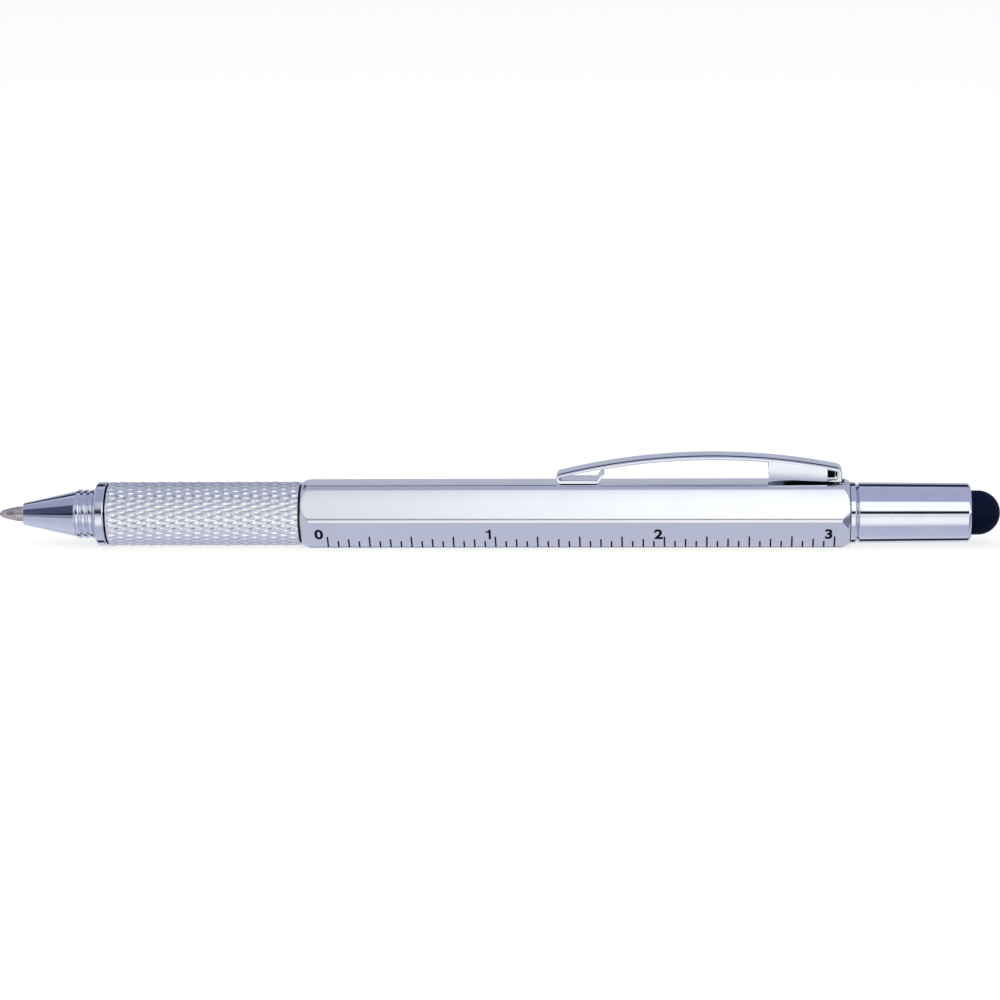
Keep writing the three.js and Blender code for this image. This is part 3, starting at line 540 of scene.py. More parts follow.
# %% [markdown]
# ## Knurled grip
#
# Two toothed wheels were pressed against the turning tube and left two sets of helical grooves
# that cross in diamonds. In the photograph there are about 33 grooves of each hand round the
# tube, and a diamond is 2.93 mm long. On the grid, the groove of one hand lies where
# n * angle + station / length is whole and that of the other where n * angle - station / length
# is whole, and the deeper of the two wins. Across a diamond the section is a cosine, so its top is
# rounded, as worn plating is. The grid has 14 columns and rows to a diamond, so both sets run
# exactly through its corners.

# %% Knurled grip
KNURL_COUNT, KNURL_LENGTH, KNURL_DEPTH, KNURL_CELLS = 33, 2.93, 0.2, 14
KNURL_EDGE, KNURL_END, GRIP_NECK = 0.2, 0.05, 0.1
CROSSING = 9  # the higher, the sharper the corner in which two grooves meet
SHANK_SOCKET, SOCKET_END, WIDE_BORE, CAM_BORE, CAM_SOCKET = SHANK + 0.08, 10.2, 3.2, 2.63, 7.5


def knurl_depth(s, r, angle):
    """depth * (1 - cos(pi * V)) / 2, where V is the larger of two saw waves, one for each hand of
    grooves: 0 at the middle of a diamond, which touches the cylinder, and 1 in a groove."""
    turn = angle / (2 * np.pi)
    phases = KNURL_COUNT * turn + s / KNURL_LENGTH, KNURL_COUNT * turn - s / KNURL_LENGTH
    saws = [1 - 2 * np.abs(phase - np.round(phase)) for phase in phases]
    larger = np.log(np.exp(CROSSING * saws[0]) + np.exp(CROSSING * saws[1])) / CROSSING
    return KNURL_DEPTH * (1 - np.cos(np.pi * larger)) / 2 * (r > GRIP_RADIUS - ON_SURFACE)


neck_rear = grip_front + GRIP_NECK
knurl_front, knurl_rear = neck_rear + KNURL_EDGE, grip_rear - KNURL_END
grip = rounded([
    (grip_front, SHANK_SOCKET), (grip_front, groove_bottom, 0.02), (neck_rear, groove_bottom, 0.02),
    (neck_rear, GRIP_RADIUS - KNURL_EDGE, 0.02), (knurl_front, GRIP_RADIUS, 0.02),
    (knurl_rear, GRIP_RADIUS, 0.02), (grip_rear, GRIP_RADIUS - KNURL_END, 0.02), (grip_rear, CAM_BORE),
    (grip_rear - CAM_SOCKET, CAM_BORE), (grip_rear - CAM_SOCKET, WIDE_BORE),
    (grip_front + SOCKET_END, WIDE_BORE), (grip_front + SOCKET_END, SHANK_SOCKET),
], steps=2)
grip = drawn_out(grip, knurl_front + 0.03, knurl_rear - 0.03, KNURL_LENGTH / KNURL_CELLS)
# The neck's bottom beside the flange gets the same painted shade.
turned("grip_sleeve_knurled", grip, "grip", knurled_metal, "knurled_silver", ["grip_sleeve"], sharp=60,
       sides=KNURL_COUNT * KNURL_CELLS, shape=lambda points: sunk(points, knurl_depth), recess=beside_grip)

# %% [markdown]
# ## Black bush
#
# A moulded ring of black ABS centres the grip in the barrel, and its edge shows between the two
# as a thin black line. It is turned like the rest, with a collar that goes into the bore. In the
# photograph that line is finer than in the CAD part, so the dressed barrel begins a little before
# its solid.

# %% Black bush between grip and barrel
bush_front, bush_rear = span("barrel_bush")
barrel_front, barrel_rear = span("hex_barrel")
barrel_front -= 0.12
BARREL_BORE, BUSH_BORE = 3.9, 2.68
bush_radius, bush_collar = reach("barrel_bush") - 0.15, BARREL_BORE - 0.03
bush_step = barrel_front - 0.02
bush = rounded([
    (bush_front + 0.04, BUSH_BORE), (bush_front + 0.04, bush_radius), (bush_step, bush_radius),
    (bush_step, bush_collar), (bush_rear, bush_collar), (bush_rear, BUSH_BORE),
], 0.05)
turned("barrel_bush_moulded", bush, "barrel", black_abs, "black_plastic", ["barrel_bush"])

# %% [markdown]
# ## Hexagon barrel: its section
#
# The barrel is cut from extruded hexagon bar with small round corners. Polishing leaves each flat
# very slightly crowned, which grades its reflection from edge to edge. The section is worked out
# once as a flat and a corner arc, and turned by sixths. Columns are closer where an opening's
# edge will run. Each outer point has a partner on the bore, so walls can be joined later.

# %% Section of the barrel
FLATS, CORNER_RADIUS, CROWN = 9.8, 1.15, 0.06
APOTHEM = FLATS / 2
FLAT_HALF = (APOTHEM - CROWN - CORNER_RADIUS) * np.tan(np.pi / 6)
WINDOW_HALF, SLOT_HALF = 1.7, 1.25
INNERMOST, OUTERMOST = 0.6, 2.1
right_half = np.array([0, INNERMOST, SLOT_HALF, WINDOW_HALF, OUTERMOST])
ACROSS = np.concatenate([[-FLAT_HALF], -right_half[:0:-1], right_half])
bend = np.radians(np.arange(0, 60, 10))
SIXTH = len(ACROSS) + len(bend)
COLUMNS = 6 * SIXTH


def face_height(across):
    """Height of a slightly crowned flat over the axis: apothem - crown * (across / half)^2."""
    return APOTHEM - CROWN * (across / FLAT_HALF)**2


side = np.concatenate([ACROSS, FLAT_HALF + CORNER_RADIUS * np.sin(bend)])
out = np.concatenate([face_height(ACROSS), APOTHEM - CROWN - CORNER_RADIUS * (1 - np.cos(bend))])
BORE_OUTERMOST, BORE_CORNER, BORE_BEND = 27.5, 28.8, 0.04  # degrees, and their growth round a corner
bore_angles = [*np.degrees(np.arcsin(right_half[:-1] / BARREL_BORE)), BORE_OUTERMOST, BORE_CORNER]
on_bore = np.radians(np.concatenate([
    np.sign(ACROSS) * np.interp(np.abs(ACROSS), [*right_half, FLAT_HALF], bore_angles),
    BORE_CORNER + np.degrees(bend) * BORE_BEND]))
side_in, out_in = BARREL_BORE * np.sin(on_bore), BARREL_BORE * np.cos(on_bore)


def on_flat(number, along, outward):
    """(across, height) of a point on flat 0..5: outward * normal + along * edge direction."""
    n = np.radians(30 + 60 * np.asarray(number))
    return np.stack([outward * np.cos(n) - along * np.sin(n), outward * np.sin(n) + along * np.cos(n)], -1)


flat_of = np.repeat(np.arange(6), SIXTH)
outer_section = on_flat(flat_of, np.tile(side, 6), np.tile(out, 6))
inner_section = on_flat(flat_of, np.tile(side_in, 6), np.tile(out_in, 6))
corner_reach = np.hypot(*outer_section.T)
print("barrel: %.2f mm over the flats, %.2f mm over the corners" % (FLATS, 2 * corner_reach.max()))

# %% [markdown]
# ## Hexagon barrel: its ends
#
# Each end is rounded on a lathe after the bar is cut, so each flat ends in a curve like the nose
# of a bullet. Where the lathe's curve meets the hexagon there is a soft crease, and a grid row is
# laid exactly on it: the station where the curve's radius equals the section's.

# %% Rows of the barrel
END_LENGTH, END_RADIUS, END_CLEARANCE, END_BREAK = 1.7, 4.84, 0.04, 0.06
SLOT_REAR, SLOT_FRONT, END_ROWS = 0.75, 1.75, 2.2  # mm from the barrel's end
end_rise = corner_reach.max() + END_CLEARANCE - END_RADIUS
crease = END_LENGTH * 2 / np.pi * np.arcsin(np.clip((corner_reach - END_RADIUS) / end_rise, 0, 1))

turned_rows = np.array([0, 0.3, 0.6, 0.85, 1])[:, None] * crease
turned_radius = END_RADIUS + end_rise * np.sin(np.pi / 2 * turned_rows / END_LENGTH)
turned_radius[0] -= END_BREAK
straight = np.array([0.12, 0.4, SLOT_REAR, SLOT_FRONT, END_ROWS])[:, None]
straight_rows = np.maximum(straight, crease + 0.03 * np.arange(1, 6)[:, None])
end_rows = np.concatenate([turned_rows, straight_rows])
end_share = np.concatenate([np.minimum(turned_radius / corner_reach, 1), np.ones_like(straight_rows)])

WINDOW_LENGTH = 14.0
guide_rear, socket_front = span("guide_sleeve")[1], span("bit_socket")[0]
window_middle = (guide_rear + socket_front) / 2
straight_half = WINDOW_LENGTH / 2 - WINDOW_HALF
window_edge = straight_half + np.array([0, 0.35, 0.7, 1.1, 1.6, 2.1])
window_rows = window_middle + np.concatenate([
    -window_edge[::-1], np.linspace(-straight_half, straight_half, 8)[1:-1], window_edge])
middle_rows = np.concatenate([
    np.linspace(barrel_front + END_ROWS, window_rows[0], 10)[1:-1], window_rows,
    np.linspace(window_rows[-1], barrel_rear - END_ROWS, 6)[1:-1],
])[:, None] * np.ones(COLUMNS)
stations = np.concatenate([barrel_front + end_rows, middle_rows, barrel_rear - end_rows[::-1]])
share = np.concatenate([end_share, np.ones_like(middle_rows), end_share[::-1]])
outer = np.concatenate([stations[..., None], outer_section * share[..., None]], -1)
centre_column = 5
bore_stations = np.repeat(stations[::-1, centre_column][:, None], COLUMNS, 1)
bore_section = np.broadcast_to(inner_section, (*bore_stations.shape, 2))
inner = np.concatenate([bore_stations[..., None], bore_section], -1)
barrel_points = np.concatenate([outer, inner])
barrel_quads = grid_quads(len(barrel_points), COLUMNS, True)
print("barrel grid:", barrel_points.shape[:2])

# %% [markdown]
# ## Hexagon barrel: its two openings
#
# The level's window is milled through the rear upper flat with a round cutter, and a short slot
# in the top flat takes the clip. Both could be boolean cuts, but on a grid it is cleaner to leave
# out the quads there and lead a wall from the outer edge to the same edge on the bore.

# %% Window and clip slot
WINDOW_FLAT, WINDOW_COLUMNS, SLOT_COLUMNS = 0, (1, 9), (SIXTH + 3, SIXTH + 7)
CHAMFER = 0.07


def opening(points, quads, rows, columns, rings):
    """Leaves out the quads between two rows and two columns, outside and in the bore, and joins
    the outer edge, the rings made from it, and the bore's edge by a strip of quads."""
    (i0, i1), (j0, j1) = rows, columns
    total = quads.shape[0]
    keep = np.ones(quads.shape[:2], bool)
    keep[i0:i1, j0:j1] = False
    keep[total - 1 - i1:total - 1 - i0, j0:j1] = False
    i = np.concatenate([np.full(j1 - j0, i0), np.arange(i0, i1), np.full(j1 - j0, i1), np.arange(i1, i0, -1)])
    j = np.concatenate([np.arange(j0, j1), np.full(i1 - i0, j1), np.arange(j1, j0, -1), np.full(i1 - i0, j0)])
    edge, bore_edge = i * COLUMNS + j, (total - 1 - i) * COLUMNS + j
    made = rings(points[edge])
    ring_numbers = len(points) + np.arange(made[..., 0].size).reshape(made.shape[:2])
    lines = np.concatenate([edge[None], ring_numbers, bore_edge[None]])
    around = np.roll(lines, -1, 1)
    strip = np.stack([lines[:-1], around[:-1], around[1:], lines[1:]], -1)
    return np.concatenate([points, made.reshape(-1, 3)]), keep, strip.reshape(-1, 4)


def window_rings(edge):
    """Each edge point slides to the nearest point of a slot with round ends: chamfer, wall, bore."""
    n = np.radians(30 + 60 * WINDOW_FLAT)
    along, s = edge[:, 2] * np.cos(n) - edge[:, 1] * np.sin(n), edge[:, 0]
    middle = np.clip(s, window_middle - straight_half, window_middle + straight_half)
    way = np.stack([s - middle, along]) / np.hypot(s - middle, along)

    def ring(grow, outward):
        a = way * (WINDOW_HALF + grow)
        radial = np.sqrt(BARREL_BORE**2 - a[1]**2) if outward is None else face_height(a[1]) - outward
        return np.concatenate([(middle + a[0])[:, None], on_flat(WINDOW_FLAT, a[1], radial)], 1)

    return np.stack([ring(CHAMFER, 0.0), ring(0.0, CHAMFER), ring(0.0, None)])


def plain_cut(edge):
    """No rings: the wall of the clip's slot goes straight to the bore."""
    return np.empty((0, len(edge), 3))


row_of = stations[:, centre_column]
window_span = [int(np.argmin(np.abs(row_of - s))) for s in (window_rows[0], window_rows[-1])]
slot_span = [int(np.argmin(np.abs(row_of - (barrel_rear - s)))) for s in (SLOT_FRONT, SLOT_REAR)]
flat_points = barrel_points.reshape(-1, 3)
flat_points, keep_a, strip_a = opening(flat_points, barrel_quads, window_span, WINDOW_COLUMNS, window_rings)
flat_points, keep_b, strip_b = opening(flat_points, barrel_quads, slot_span, SLOT_COLUMNS, plain_cut)
barrel_faces = np.concatenate([barrel_quads[keep_a & keep_b], strip_a, strip_b])
piece("hex_barrel_anodised", flat_points, barrel_faces, "barrel", satin_aluminium, "satin_silver",
      ["hex_barrel"], sharp=30)
print("window from %.1f to %.1f mm, clip slot from %.2f to %.2f mm" % (
    window_middle - WINDOW_LENGTH / 2, window_middle + WINDOW_LENGTH / 2, *row_of[slot_span]))

# %% [markdown]
# ## Printed ruler
#
# Three inches are pad printed in near black along the lower front flat, in sixteenths. The ink
# stands less than 0.02 mm proud, so each mark is a very thin bar that begins at the flat's lower edge.
# Quarters are longest, then eighths, then sixteenths.

# %% Ruler marks
SIXTEENTH, MARKS = 25.4 / 16, 49
RULER_START = span("hex_barrel")[0] + 3.9
RULER_FLAT, MARK_WIDTH, INK, INK_ROOT = 3, 0.25, 0.016, -0.03
MARK_FOOT = -FLAT_HALF
MARK_TOPS = {0: -0.26, 2: -0.78, 1: -1.2, 3: -1.2}
FOOT_BEND = np.radians(24)  # the marks run on a little way round the corner

number = np.arange(MARKS)
middles = RULER_START + number * SIXTEENTH
tops = np.array([MARK_TOPS[k % 4] for k in number])[:, None]


def round_corner(across):
    """face_height, carried on round the corner's arc where across is beyond the flat's half width."""
    past = np.clip(np.abs(across) - FLAT_HALF, 0, None)
    arc = CORNER_RADIUS - np.sqrt(CORNER_RADIUS**2 - past**2)
    return np.where(past > 0, APOTHEM - CROWN - arc, face_height(across))


below = MARK_FOOT - CORNER_RADIUS * np.sin(FOOT_BEND * np.array([0.5, 1.0]))
mark_t = np.concatenate([tops, (tops + MARK_FOOT) / 2, np.full((MARKS, 1), MARK_FOOT),
                         np.broadcast_to(below, (MARKS, 2))], 1)[..., None]
beside = np.array([-0.5, 0.5, 0.5, -0.5]) * MARK_WIDTH
proud = np.array([INK, INK, INK_ROOT, INK_ROOT])
mark_s = middles[:, None, None] + beside + 0 * mark_t
on_ruler = on_flat(RULER_FLAT, -mark_t + 0 * mark_s, round_corner(mark_t) + proud)
marks = np.concatenate([mark_s[..., None], on_ruler], -1)
around = grid_quads(5, 4, False).reshape(-1, 4)[:, ::-1]
box_quads = np.concatenate([around, [(0, 1, 2, 3), (19, 18, 17, 16)]])
mark_faces = (20 * number)[:, None, None] + box_quads
piece("ruler_marks_printed", marks.reshape(-1, 3), mark_faces.reshape(-1, 4), "barrel", printing_ink,
      "black_plastic")

# %% [markdown]
# ## Ruler numbers
#
# The numbers 0 to 3 stand just before their inch marks. They are plain sans serif figures, so
# Blender's own font serves: each is made as text, turned into a mesh, and its points are then
# laid on the flat. A flat spread of the outline makes them bold. The font's 1 is a bare stroke,
# where the pen's has a flag, so the 1 has an outline of its own.

# %% Ruler numbers
NUMBER_HEIGHT, NUMBER_FOOT, NUMBER_BOLD = 2.0, -0.78, 0.035
NUMBER_LEADS = (1.27, 1.04, 0.87, 0.9)  # mm from each number's middle to its inch mark
ONE = np.array([(0, 0), (0.18, 0), (0.18, 1), (0.05, 1), (0, 0.88), (-0.09, 0.81), (-0.22, 0.79),
                (-0.22, 0.66), (0, 0.68)])


def figure_mesh(figure):
    """A thin plate in the shape of a figure, from its own outline or from the font's text."""
    if figure == "1":
        mesh, sides = bpy.data.meshes.new("number_1_outline"), np.arange(len(ONE))
        plate = np.concatenate([np.c_[ONE, np.full(len(ONE), z)] for z in (0.01, -0.01)])
        after = (sides + 1) % len(ONE)
        walls = np.stack([sides, sides + len(ONE), after + len(ONE), after], 1).tolist()
        mesh.from_pydata(plate, [], [sides.tolist(), (sides[::-1] + len(ONE)).tolist(), *walls])
        return mesh
    text = bpy.data.curves.new("number_%s_outline" % figure, "FONT")
    text.body, text.offset, text.extrude, text.resolution_u = figure, NUMBER_BOLD, 0.01, 8
    holder = bpy.data.objects.new(text.name, text)
    mesh = bpy.data.meshes.new_from_object(holder)
    bpy.data.objects.remove(holder)
    return mesh


def printed_number(figure, middle):
    """A figure whose box is scaled to the height wanted, round a station, on the flat."""
    mesh = figure_mesh(figure)
    flat = np.empty(len(mesh.vertices) * 3)
    mesh.vertices.foreach_get("co", flat)
    flat = flat.reshape(-1, 3)
    low, high = flat.min(0), flat.max(0)
    scale = NUMBER_HEIGHT / (high[1] - low[1])
    s = middle + (flat[:, 0] - (low[0] + high[0]) / 2) * scale
    t = NUMBER_FOOT + (flat[:, 1] - low[1]) * scale
    proud = face_height(t) + np.where(flat[:, 2] > 0, INK, INK_ROOT)
    where = np.concatenate([s[:, None], on_flat(RULER_FLAT, -t, proud)], 1)
    mesh.vertices.foreach_set("co", to_frame(where).ravel())
    mesh.update()
    mesh.materials.clear()
    mesh.materials.append(printing_ink)
    number = put_in_scene("ruler_number_%s" % figure, mesh)
    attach(number, "barrel")
    return (high[0] - low[0]) * scale


for inch, lead in enumerate(NUMBER_LEADS):
    width = printed_number(str(inch), RULER_START + inch * 16 * SIXTEENTH - lead)
    print("number %d is %.2f mm wide" % (inch, width))

# %% [markdown]
# ## Pocket clip: its middle line
#
# The clip is one strip of spring steel, 0.5 mm thick. Seen from the side its middle line starts
# at the lifted tongue, rolls forward round the front fold, runs back along a flat arc, bends
# down into the leg, and ends inside the barrel in a foot that points forward.

# %% Middle line of the clip
CLIP_WIDTH, CLIP_THICKNESS = 4.2, 0.5
ARM_RADIUS, FOLD_RADIUS, LEG_BEND = 95.9, 0.52, 0.75
HIGH_SET_BACK, FRONT_REACH, LEG_SET_BACK, CLIP_REST = 20.6, 22.8, 1.35, 0.04
TONGUE_LENGTH, TONGUE_BEND, TONGUE_RISE, TONGUE_ANGLE = 5.15, 0.6, 1.1, 55
FOOT_LENGTH, FOOT_THICKNESS, FOOT_GAP, TAB_WIDTH = 2.0, 0.4, 0.38, 2.0

high_station, leg_station = barrel_rear - HIGH_SET_BACK, barrel_rear - LEG_SET_BACK
rest_line = APOTHEM + CLIP_REST + CLIP_THICKNESS / 2
front_angle = np.arcsin(FRONT_REACH / (ARM_RADIUS + CLIP_THICKNESS / 2))
arm_middle = np.array([
    high_station, rest_line + FOLD_RADIUS - (ARM_RADIUS - FOLD_RADIUS) * np.cos(front_angle)])
fold_middle = arm_middle + (ARM_RADIUS - FOLD_RADIUS) * np.array([-np.sin(front_angle), np.cos(front_angle)])
rear_angle = np.arcsin((leg_station - high_station - LEG_BEND) / (ARM_RADIUS - LEG_BEND))
bend_middle = arm_middle + (ARM_RADIUS - LEG_BEND) * np.array([np.sin(rear_angle), np.cos(rear_angle)])
foot_top = np.sqrt(BARREL_BORE**2 - (TAB_WIDTH / 2)**2) - FOOT_GAP / 2
foot_middle = foot_top - FOOT_THICKNESS / 2

lift = np.radians(TONGUE_ANGLE)
tongue_middle = (fold_middle[0] + TONGUE_LENGTH, rest_line + TONGUE_BEND)
upward = along_arc(tongue_middle, TONGUE_BEND, np.pi - lift, np.pi, 8)
free_end = upward[0] + TONGUE_RISE * np.array([np.cos(lift), np.sin(lift)])
tongue = np.concatenate([free_end + (upward[0] - free_end) * np.array([[0], [0.04], [0.5]]), upward])
fold = along_arc(fold_middle, FOLD_RADIUS, -np.pi, -front_angle, 20)
ear_from, ear_to = barrel_rear - 12.1, barrel_rear - 3.3
LEG_FLANGE, FAR_LEG_FLANGE = 0.33, 0.41
far_to = leg_station - CLIP_THICKNESS / 2 - LEG_FLANGE - 0.05
arm_stations = np.concatenate([
    np.linspace(fold[-1, 0], ear_from, 34)[1:], [ear_from + 0.02], np.linspace(ear_from, ear_to, 12)[1:-1],
    [ear_to - 0.5, ear_to - 0.2, ear_to - 0.02, ear_to, far_to - 0.02, far_to]])
arm = np.stack([arm_stations, arm_middle[1] + np.sqrt(ARM_RADIUS**2 - (arm_stations - high_station)**2)], 1)
arm = arm[np.argsort(arm_stations)]
rear_bend = along_arc(bend_middle, LEG_BEND, rear_angle, np.pi / 2, 10)
EAR_FRONT_LIFT, EAR_REAR_LIFT, FAR_LIFT = 0.7, 0.33, 0.12
shoulder = APOTHEM + EAR_REAR_LIFT
leg_heights = (shoulder + 0.6, shoulder + 0.22, shoulder + 0.2, shoulder + 0.02, shoulder, shoulder - 0.01,
               foot_middle + 0.35)
leg = np.array([(leg_station, height) for height in leg_heights])
toe = along_arc((leg_station - 0.3, foot_middle + 0.3), 0.3, np.pi / 2, np.pi, 5)
foot_end = leg_station - CLIP_THICKNESS / 2 - FOOT_LENGTH
foot = np.array([(foot_end + 0.06, foot_middle), (foot_end, foot_middle)])
clip_line = np.concatenate([tongue, fold[1:], arm, rear_bend, leg, toe, foot])
strip_length = np.hypot(*np.diff(clip_line, axis=0).T).sum()
print("clip's middle line: %d points, %.1f mm of strip" % (len(clip_line), strip_length))

# %% [markdown]
# ## Pocket clip: its section
#
# Along that line the strip is swept as a closed section with rounded edges. Under the arm's rear
# the section grows into a channel: its sides are folded down as ears. The near ear stops short of
# the leg, which leaves a small hole, and the far one, which can't be seen, closes it. So the section
# is a function of how deep each side hangs, and where that is just the thickness, it is flat.

# %% Section of the clip
EDGE_ROUND, ROLL_RADIUS, ROLL_WIDTH = 0.045, 2.0, 0.9
EAR_WALL, EAR_STEP, ARM_FLANGE = 0.4, 0.06, 0.12
EAR_EDGE, INNER_CUT = 0.12, 0.16
roll_end = np.arcsin((ROLL_WIDTH - EDGE_ROUND) / (ROLL_RADIUS - EDGE_ROUND))
roll = np.linspace(0, roll_end, 5)
edge = np.linspace(roll_end, np.pi / 2, 5)[1:]
ROLL_DROP = ROLL_RADIUS * (1 - np.cos(roll_end))


def half_section(w, deep, thick, rolled):
    """(across, depth) from the middle of the outside, over one edge at half width w, to the middle
    of the inside: a flat, a wide roll of radius R (or a part of it) and a small edge of radius r,
    each R(1 - cos q) deep, then the side with a slight step in, which hangs to the given depth, its
    lower edge, and the inside with its cut corner. b fades the ear's own forms in over 0.3 mm."""
    flat, r, drop = w - ROLL_WIDTH, EDGE_ROUND, rolled * ROLL_DROP + EDGE_ROUND * np.cos(roll_end)
    b = np.clip((deep - thick) / 0.3, 0, 1)
    ear, wall = w - EAR_STEP * b, w - EAR_WALL
    ledge = np.minimum(thick - 0.02, deep - EAR_EDGE - 0.01)
    across = [0, 0.5 * flat, *(flat + ROLL_RADIUS * np.sin(q) for q in roll),
              *(w - r + r * np.sin(q) for q in edge), w, w, ear, ear, ear - 0.5 * EAR_EDGE,
              ear - 0.7 * EAR_EDGE, wall + 0.02, wall, wall, wall - 0.3 * INNER_CUT, wall - INNER_CUT,
              0.5 * wall, 0]
    depth = [0, 0, *(rolled * ROLL_RADIUS * (1 - np.cos(q)) for q in roll),
             *(drop - r * np.cos(q) for q in edge), (drop + ledge - 0.06) / 2, ledge - 0.06, ledge,
             deep - EAR_EDGE, deep - 0.12 * EAR_EDGE, deep, deep, deep - 0.02 * b, thick + INNER_CUT * b,
             thick + 0.3 * INNER_CUT * b, thick, thick, thick]
    return np.stack([np.stack(np.broadcast_arrays(w, *line)[1:], -1) for line in (across, depth)], -1)


s, h = clip_line.T
ahead = np.gradient(clip_line, axis=0)
ahead /= np.hypot(*ahead.T)[:, None]
outward = np.stack([-ahead[:, 1], ahead[:, 0]], 1)
row = np.arange(len(clip_line))
first_arm = len(tongue) + len(fold) - 1
last_arm = first_arm + len(arm)
bend_end = last_arm + len(rear_bend)
first_foot = bend_end + len(leg)


def between(first, last):
    """Says of each row whether it is one from first to just before last."""
    return (row >= first) & (row < last)


thickness = np.interp(row, [bend_end + 4, first_foot], [CLIP_THICKNESS, FOOT_THICKNESS])
width = np.where(row < bend_end + 5, CLIP_WIDTH, TAB_WIDTH) / 2
top = h + CLIP_THICKNESS / 2
on_arm, behind_ear_front = between(first_arm, last_arm), s > ear_from + 0.01
is_flanged = between(first_arm + 1, last_arm + 3)
is_ear = on_arm & behind_ear_front & (s < ear_to - 0.01)
is_far = on_arm & behind_ear_front & (s < far_to - 0.01)
is_leg, is_bridge = between(last_arm + 3, bend_end + 5), between(bend_end + 2, bend_end + 4)
ear_low = APOTHEM + np.interp(s, [ear_from, ear_to], [EAR_FRONT_LIFT, EAR_REAR_LIFT])
far_low = APOTHEM + np.interp(s, [ear_from, ear_from + 1, ear_from + 4.5], [EAR_FRONT_LIFT, 0.4, FAR_LIFT])
leg_flanges = np.array([[LEG_FLANGE], [FAR_LEG_FLANGE]])
leg_growth = np.clip((row[is_leg] - last_arm - 2) / 6, 0, 1)

hang_down = np.zeros((2, len(row)))  # of the near side and the far side, below the thickness
hang_down[:, is_flanged] = ARM_FLANGE * np.clip((row[is_flanged] - first_arm) / 8, 0, 1)
hang_down[0, is_ear] = (top - ear_low - CLIP_THICKNESS)[is_ear]
hang_down[1, is_far] = (top - far_low - CLIP_THICKNESS)[is_far]
hang_down[:, is_leg] = ARM_FLANGE + (leg_flanges - ARM_FLANGE) * leg_growth
hang_down[0, is_bridge] = leg_station - CLIP_THICKNESS / 2 - ear_to - 0.04

rolled = np.interp(row, [len(tongue) + 4, first_arm], [0.25, 1])
halves = [half_section(width, thickness + hang, thickness, rolled) for hang in hang_down]
section = np.concatenate([halves[0] * (-1, 1), halves[1][:, -2:0:-1]], 1)
way_down = np.where(on_arm[:, None], [[0.0, 1.0]], outward)
base = clip_line + outward * (thickness / 2)[:, None]
plain = np.minimum(section[..., 1], thickness[:, None])
hung = section[..., 1] - plain
sheet = base[:, None] - outward[:, None] * plain[..., None] - way_down[:, None] * hung[..., None]
clip_points = np.stack([sheet[..., 0], section[..., 0], sheet[..., 1]], -1)
print("clip grid:", clip_points.shape[:2], "ear depth %.2f mm" % (top - ear_low)[is_ear].max())

# %% [markdown]
# ## Pocket clip: closing the grid
#
# The strip's two cut ends are closed by one more row each, in which the section is pressed
# together to its own middle line, so the outside and the inside meet in a seam there.

# %% Pocket clip
def end_row(row_points, middle):
    """The section pressed flat: every point moves to the middle of the strip's thickness."""
    across = row_points[:, 1]
    return np.stack([middle[0] + 0 * across, across, middle[1] + 0 * across], -1)


first, last = end_row(clip_points[0], clip_line[0]), end_row(clip_points[-1], clip_line[-1])
clip_points = np.concatenate([first[None], clip_points, last[None]])
clip_faces = grid_quads(len(clip_points), clip_points.shape[1], False)
is_fold = between(len(tongue) + 2, first_arm - 1)
folded = np.concatenate([[False], (is_far & (s > ear_from + 1.8)) | is_leg | is_fold])[:, None]
inside_middle = halves[0].shape[1] - 1.5
inner_column = np.abs(np.arange(clip_points.shape[1]) - inside_middle) < 5
# The inside of the front fold, of the far ear's rear and of the leg gets painted shade, where shade falls
# under the clip.
piece("pocket_clip_chromed", clip_points, clip_faces, "clip", chrome_plate, "chrome", ["pocket_clip"],
      sharp=40, recess=lambda middles: (folded & inner_column).ravel())

# %% [markdown]
# ## Rear collar and cap
#
# The collar is pressed into the barrel and carries the thread for the cap. Between its flange
# and the cap lies a V groove, cut half on each side, which reads as one dark line. Under the
# clip's foot the collar's spigot is milled away, so there its height is held below a limit.

# %% Rear collar
collar_front, collar_rear = span("rear_collar")
cap_front, cap_rear = span("cap_tube")
COLLAR_FLANGE, COLLAR_NECK, COLLAR_THREAD, COLLAR_BORE = 4.65, 4.25, 3.5, 2.8
COLLAR_THREAD_DEPTH, SEAM_BOTTOM = 0.28, COLLAR_FLANGE - 0.4
SEAM, FLANGE_FULL, GROOVE = 0.12, 0.83, 1.13  # mm behind the barrel: flange begins, ends, groove's bottom
SPIGOT, NOTCH_HALF, NOTCH_HEIGHT = 3.84, 1.25, 3.05
notch_front, notch_rear = foot_end - 0.25, leg_station + 0.5


def notched(points):
    """Height = min(height, limit) where the clip's foot lies, then the thread on the rear part."""
    s, y, z = np.moveaxis(points, -1, 0)
    there = (s > notch_front) & (s < notch_rear) & (np.abs(y) < NOTCH_HALF + 0.01)
    cut = np.stack([s, y, np.where(there, np.minimum(z, NOTCH_HEIGHT), z)], -1)
    return threaded(cap_front + 1.0, collar_rear - 0.1, COLLAR_THREAD, THREAD_PITCH, COLLAR_THREAD_DEPTH)(cut)


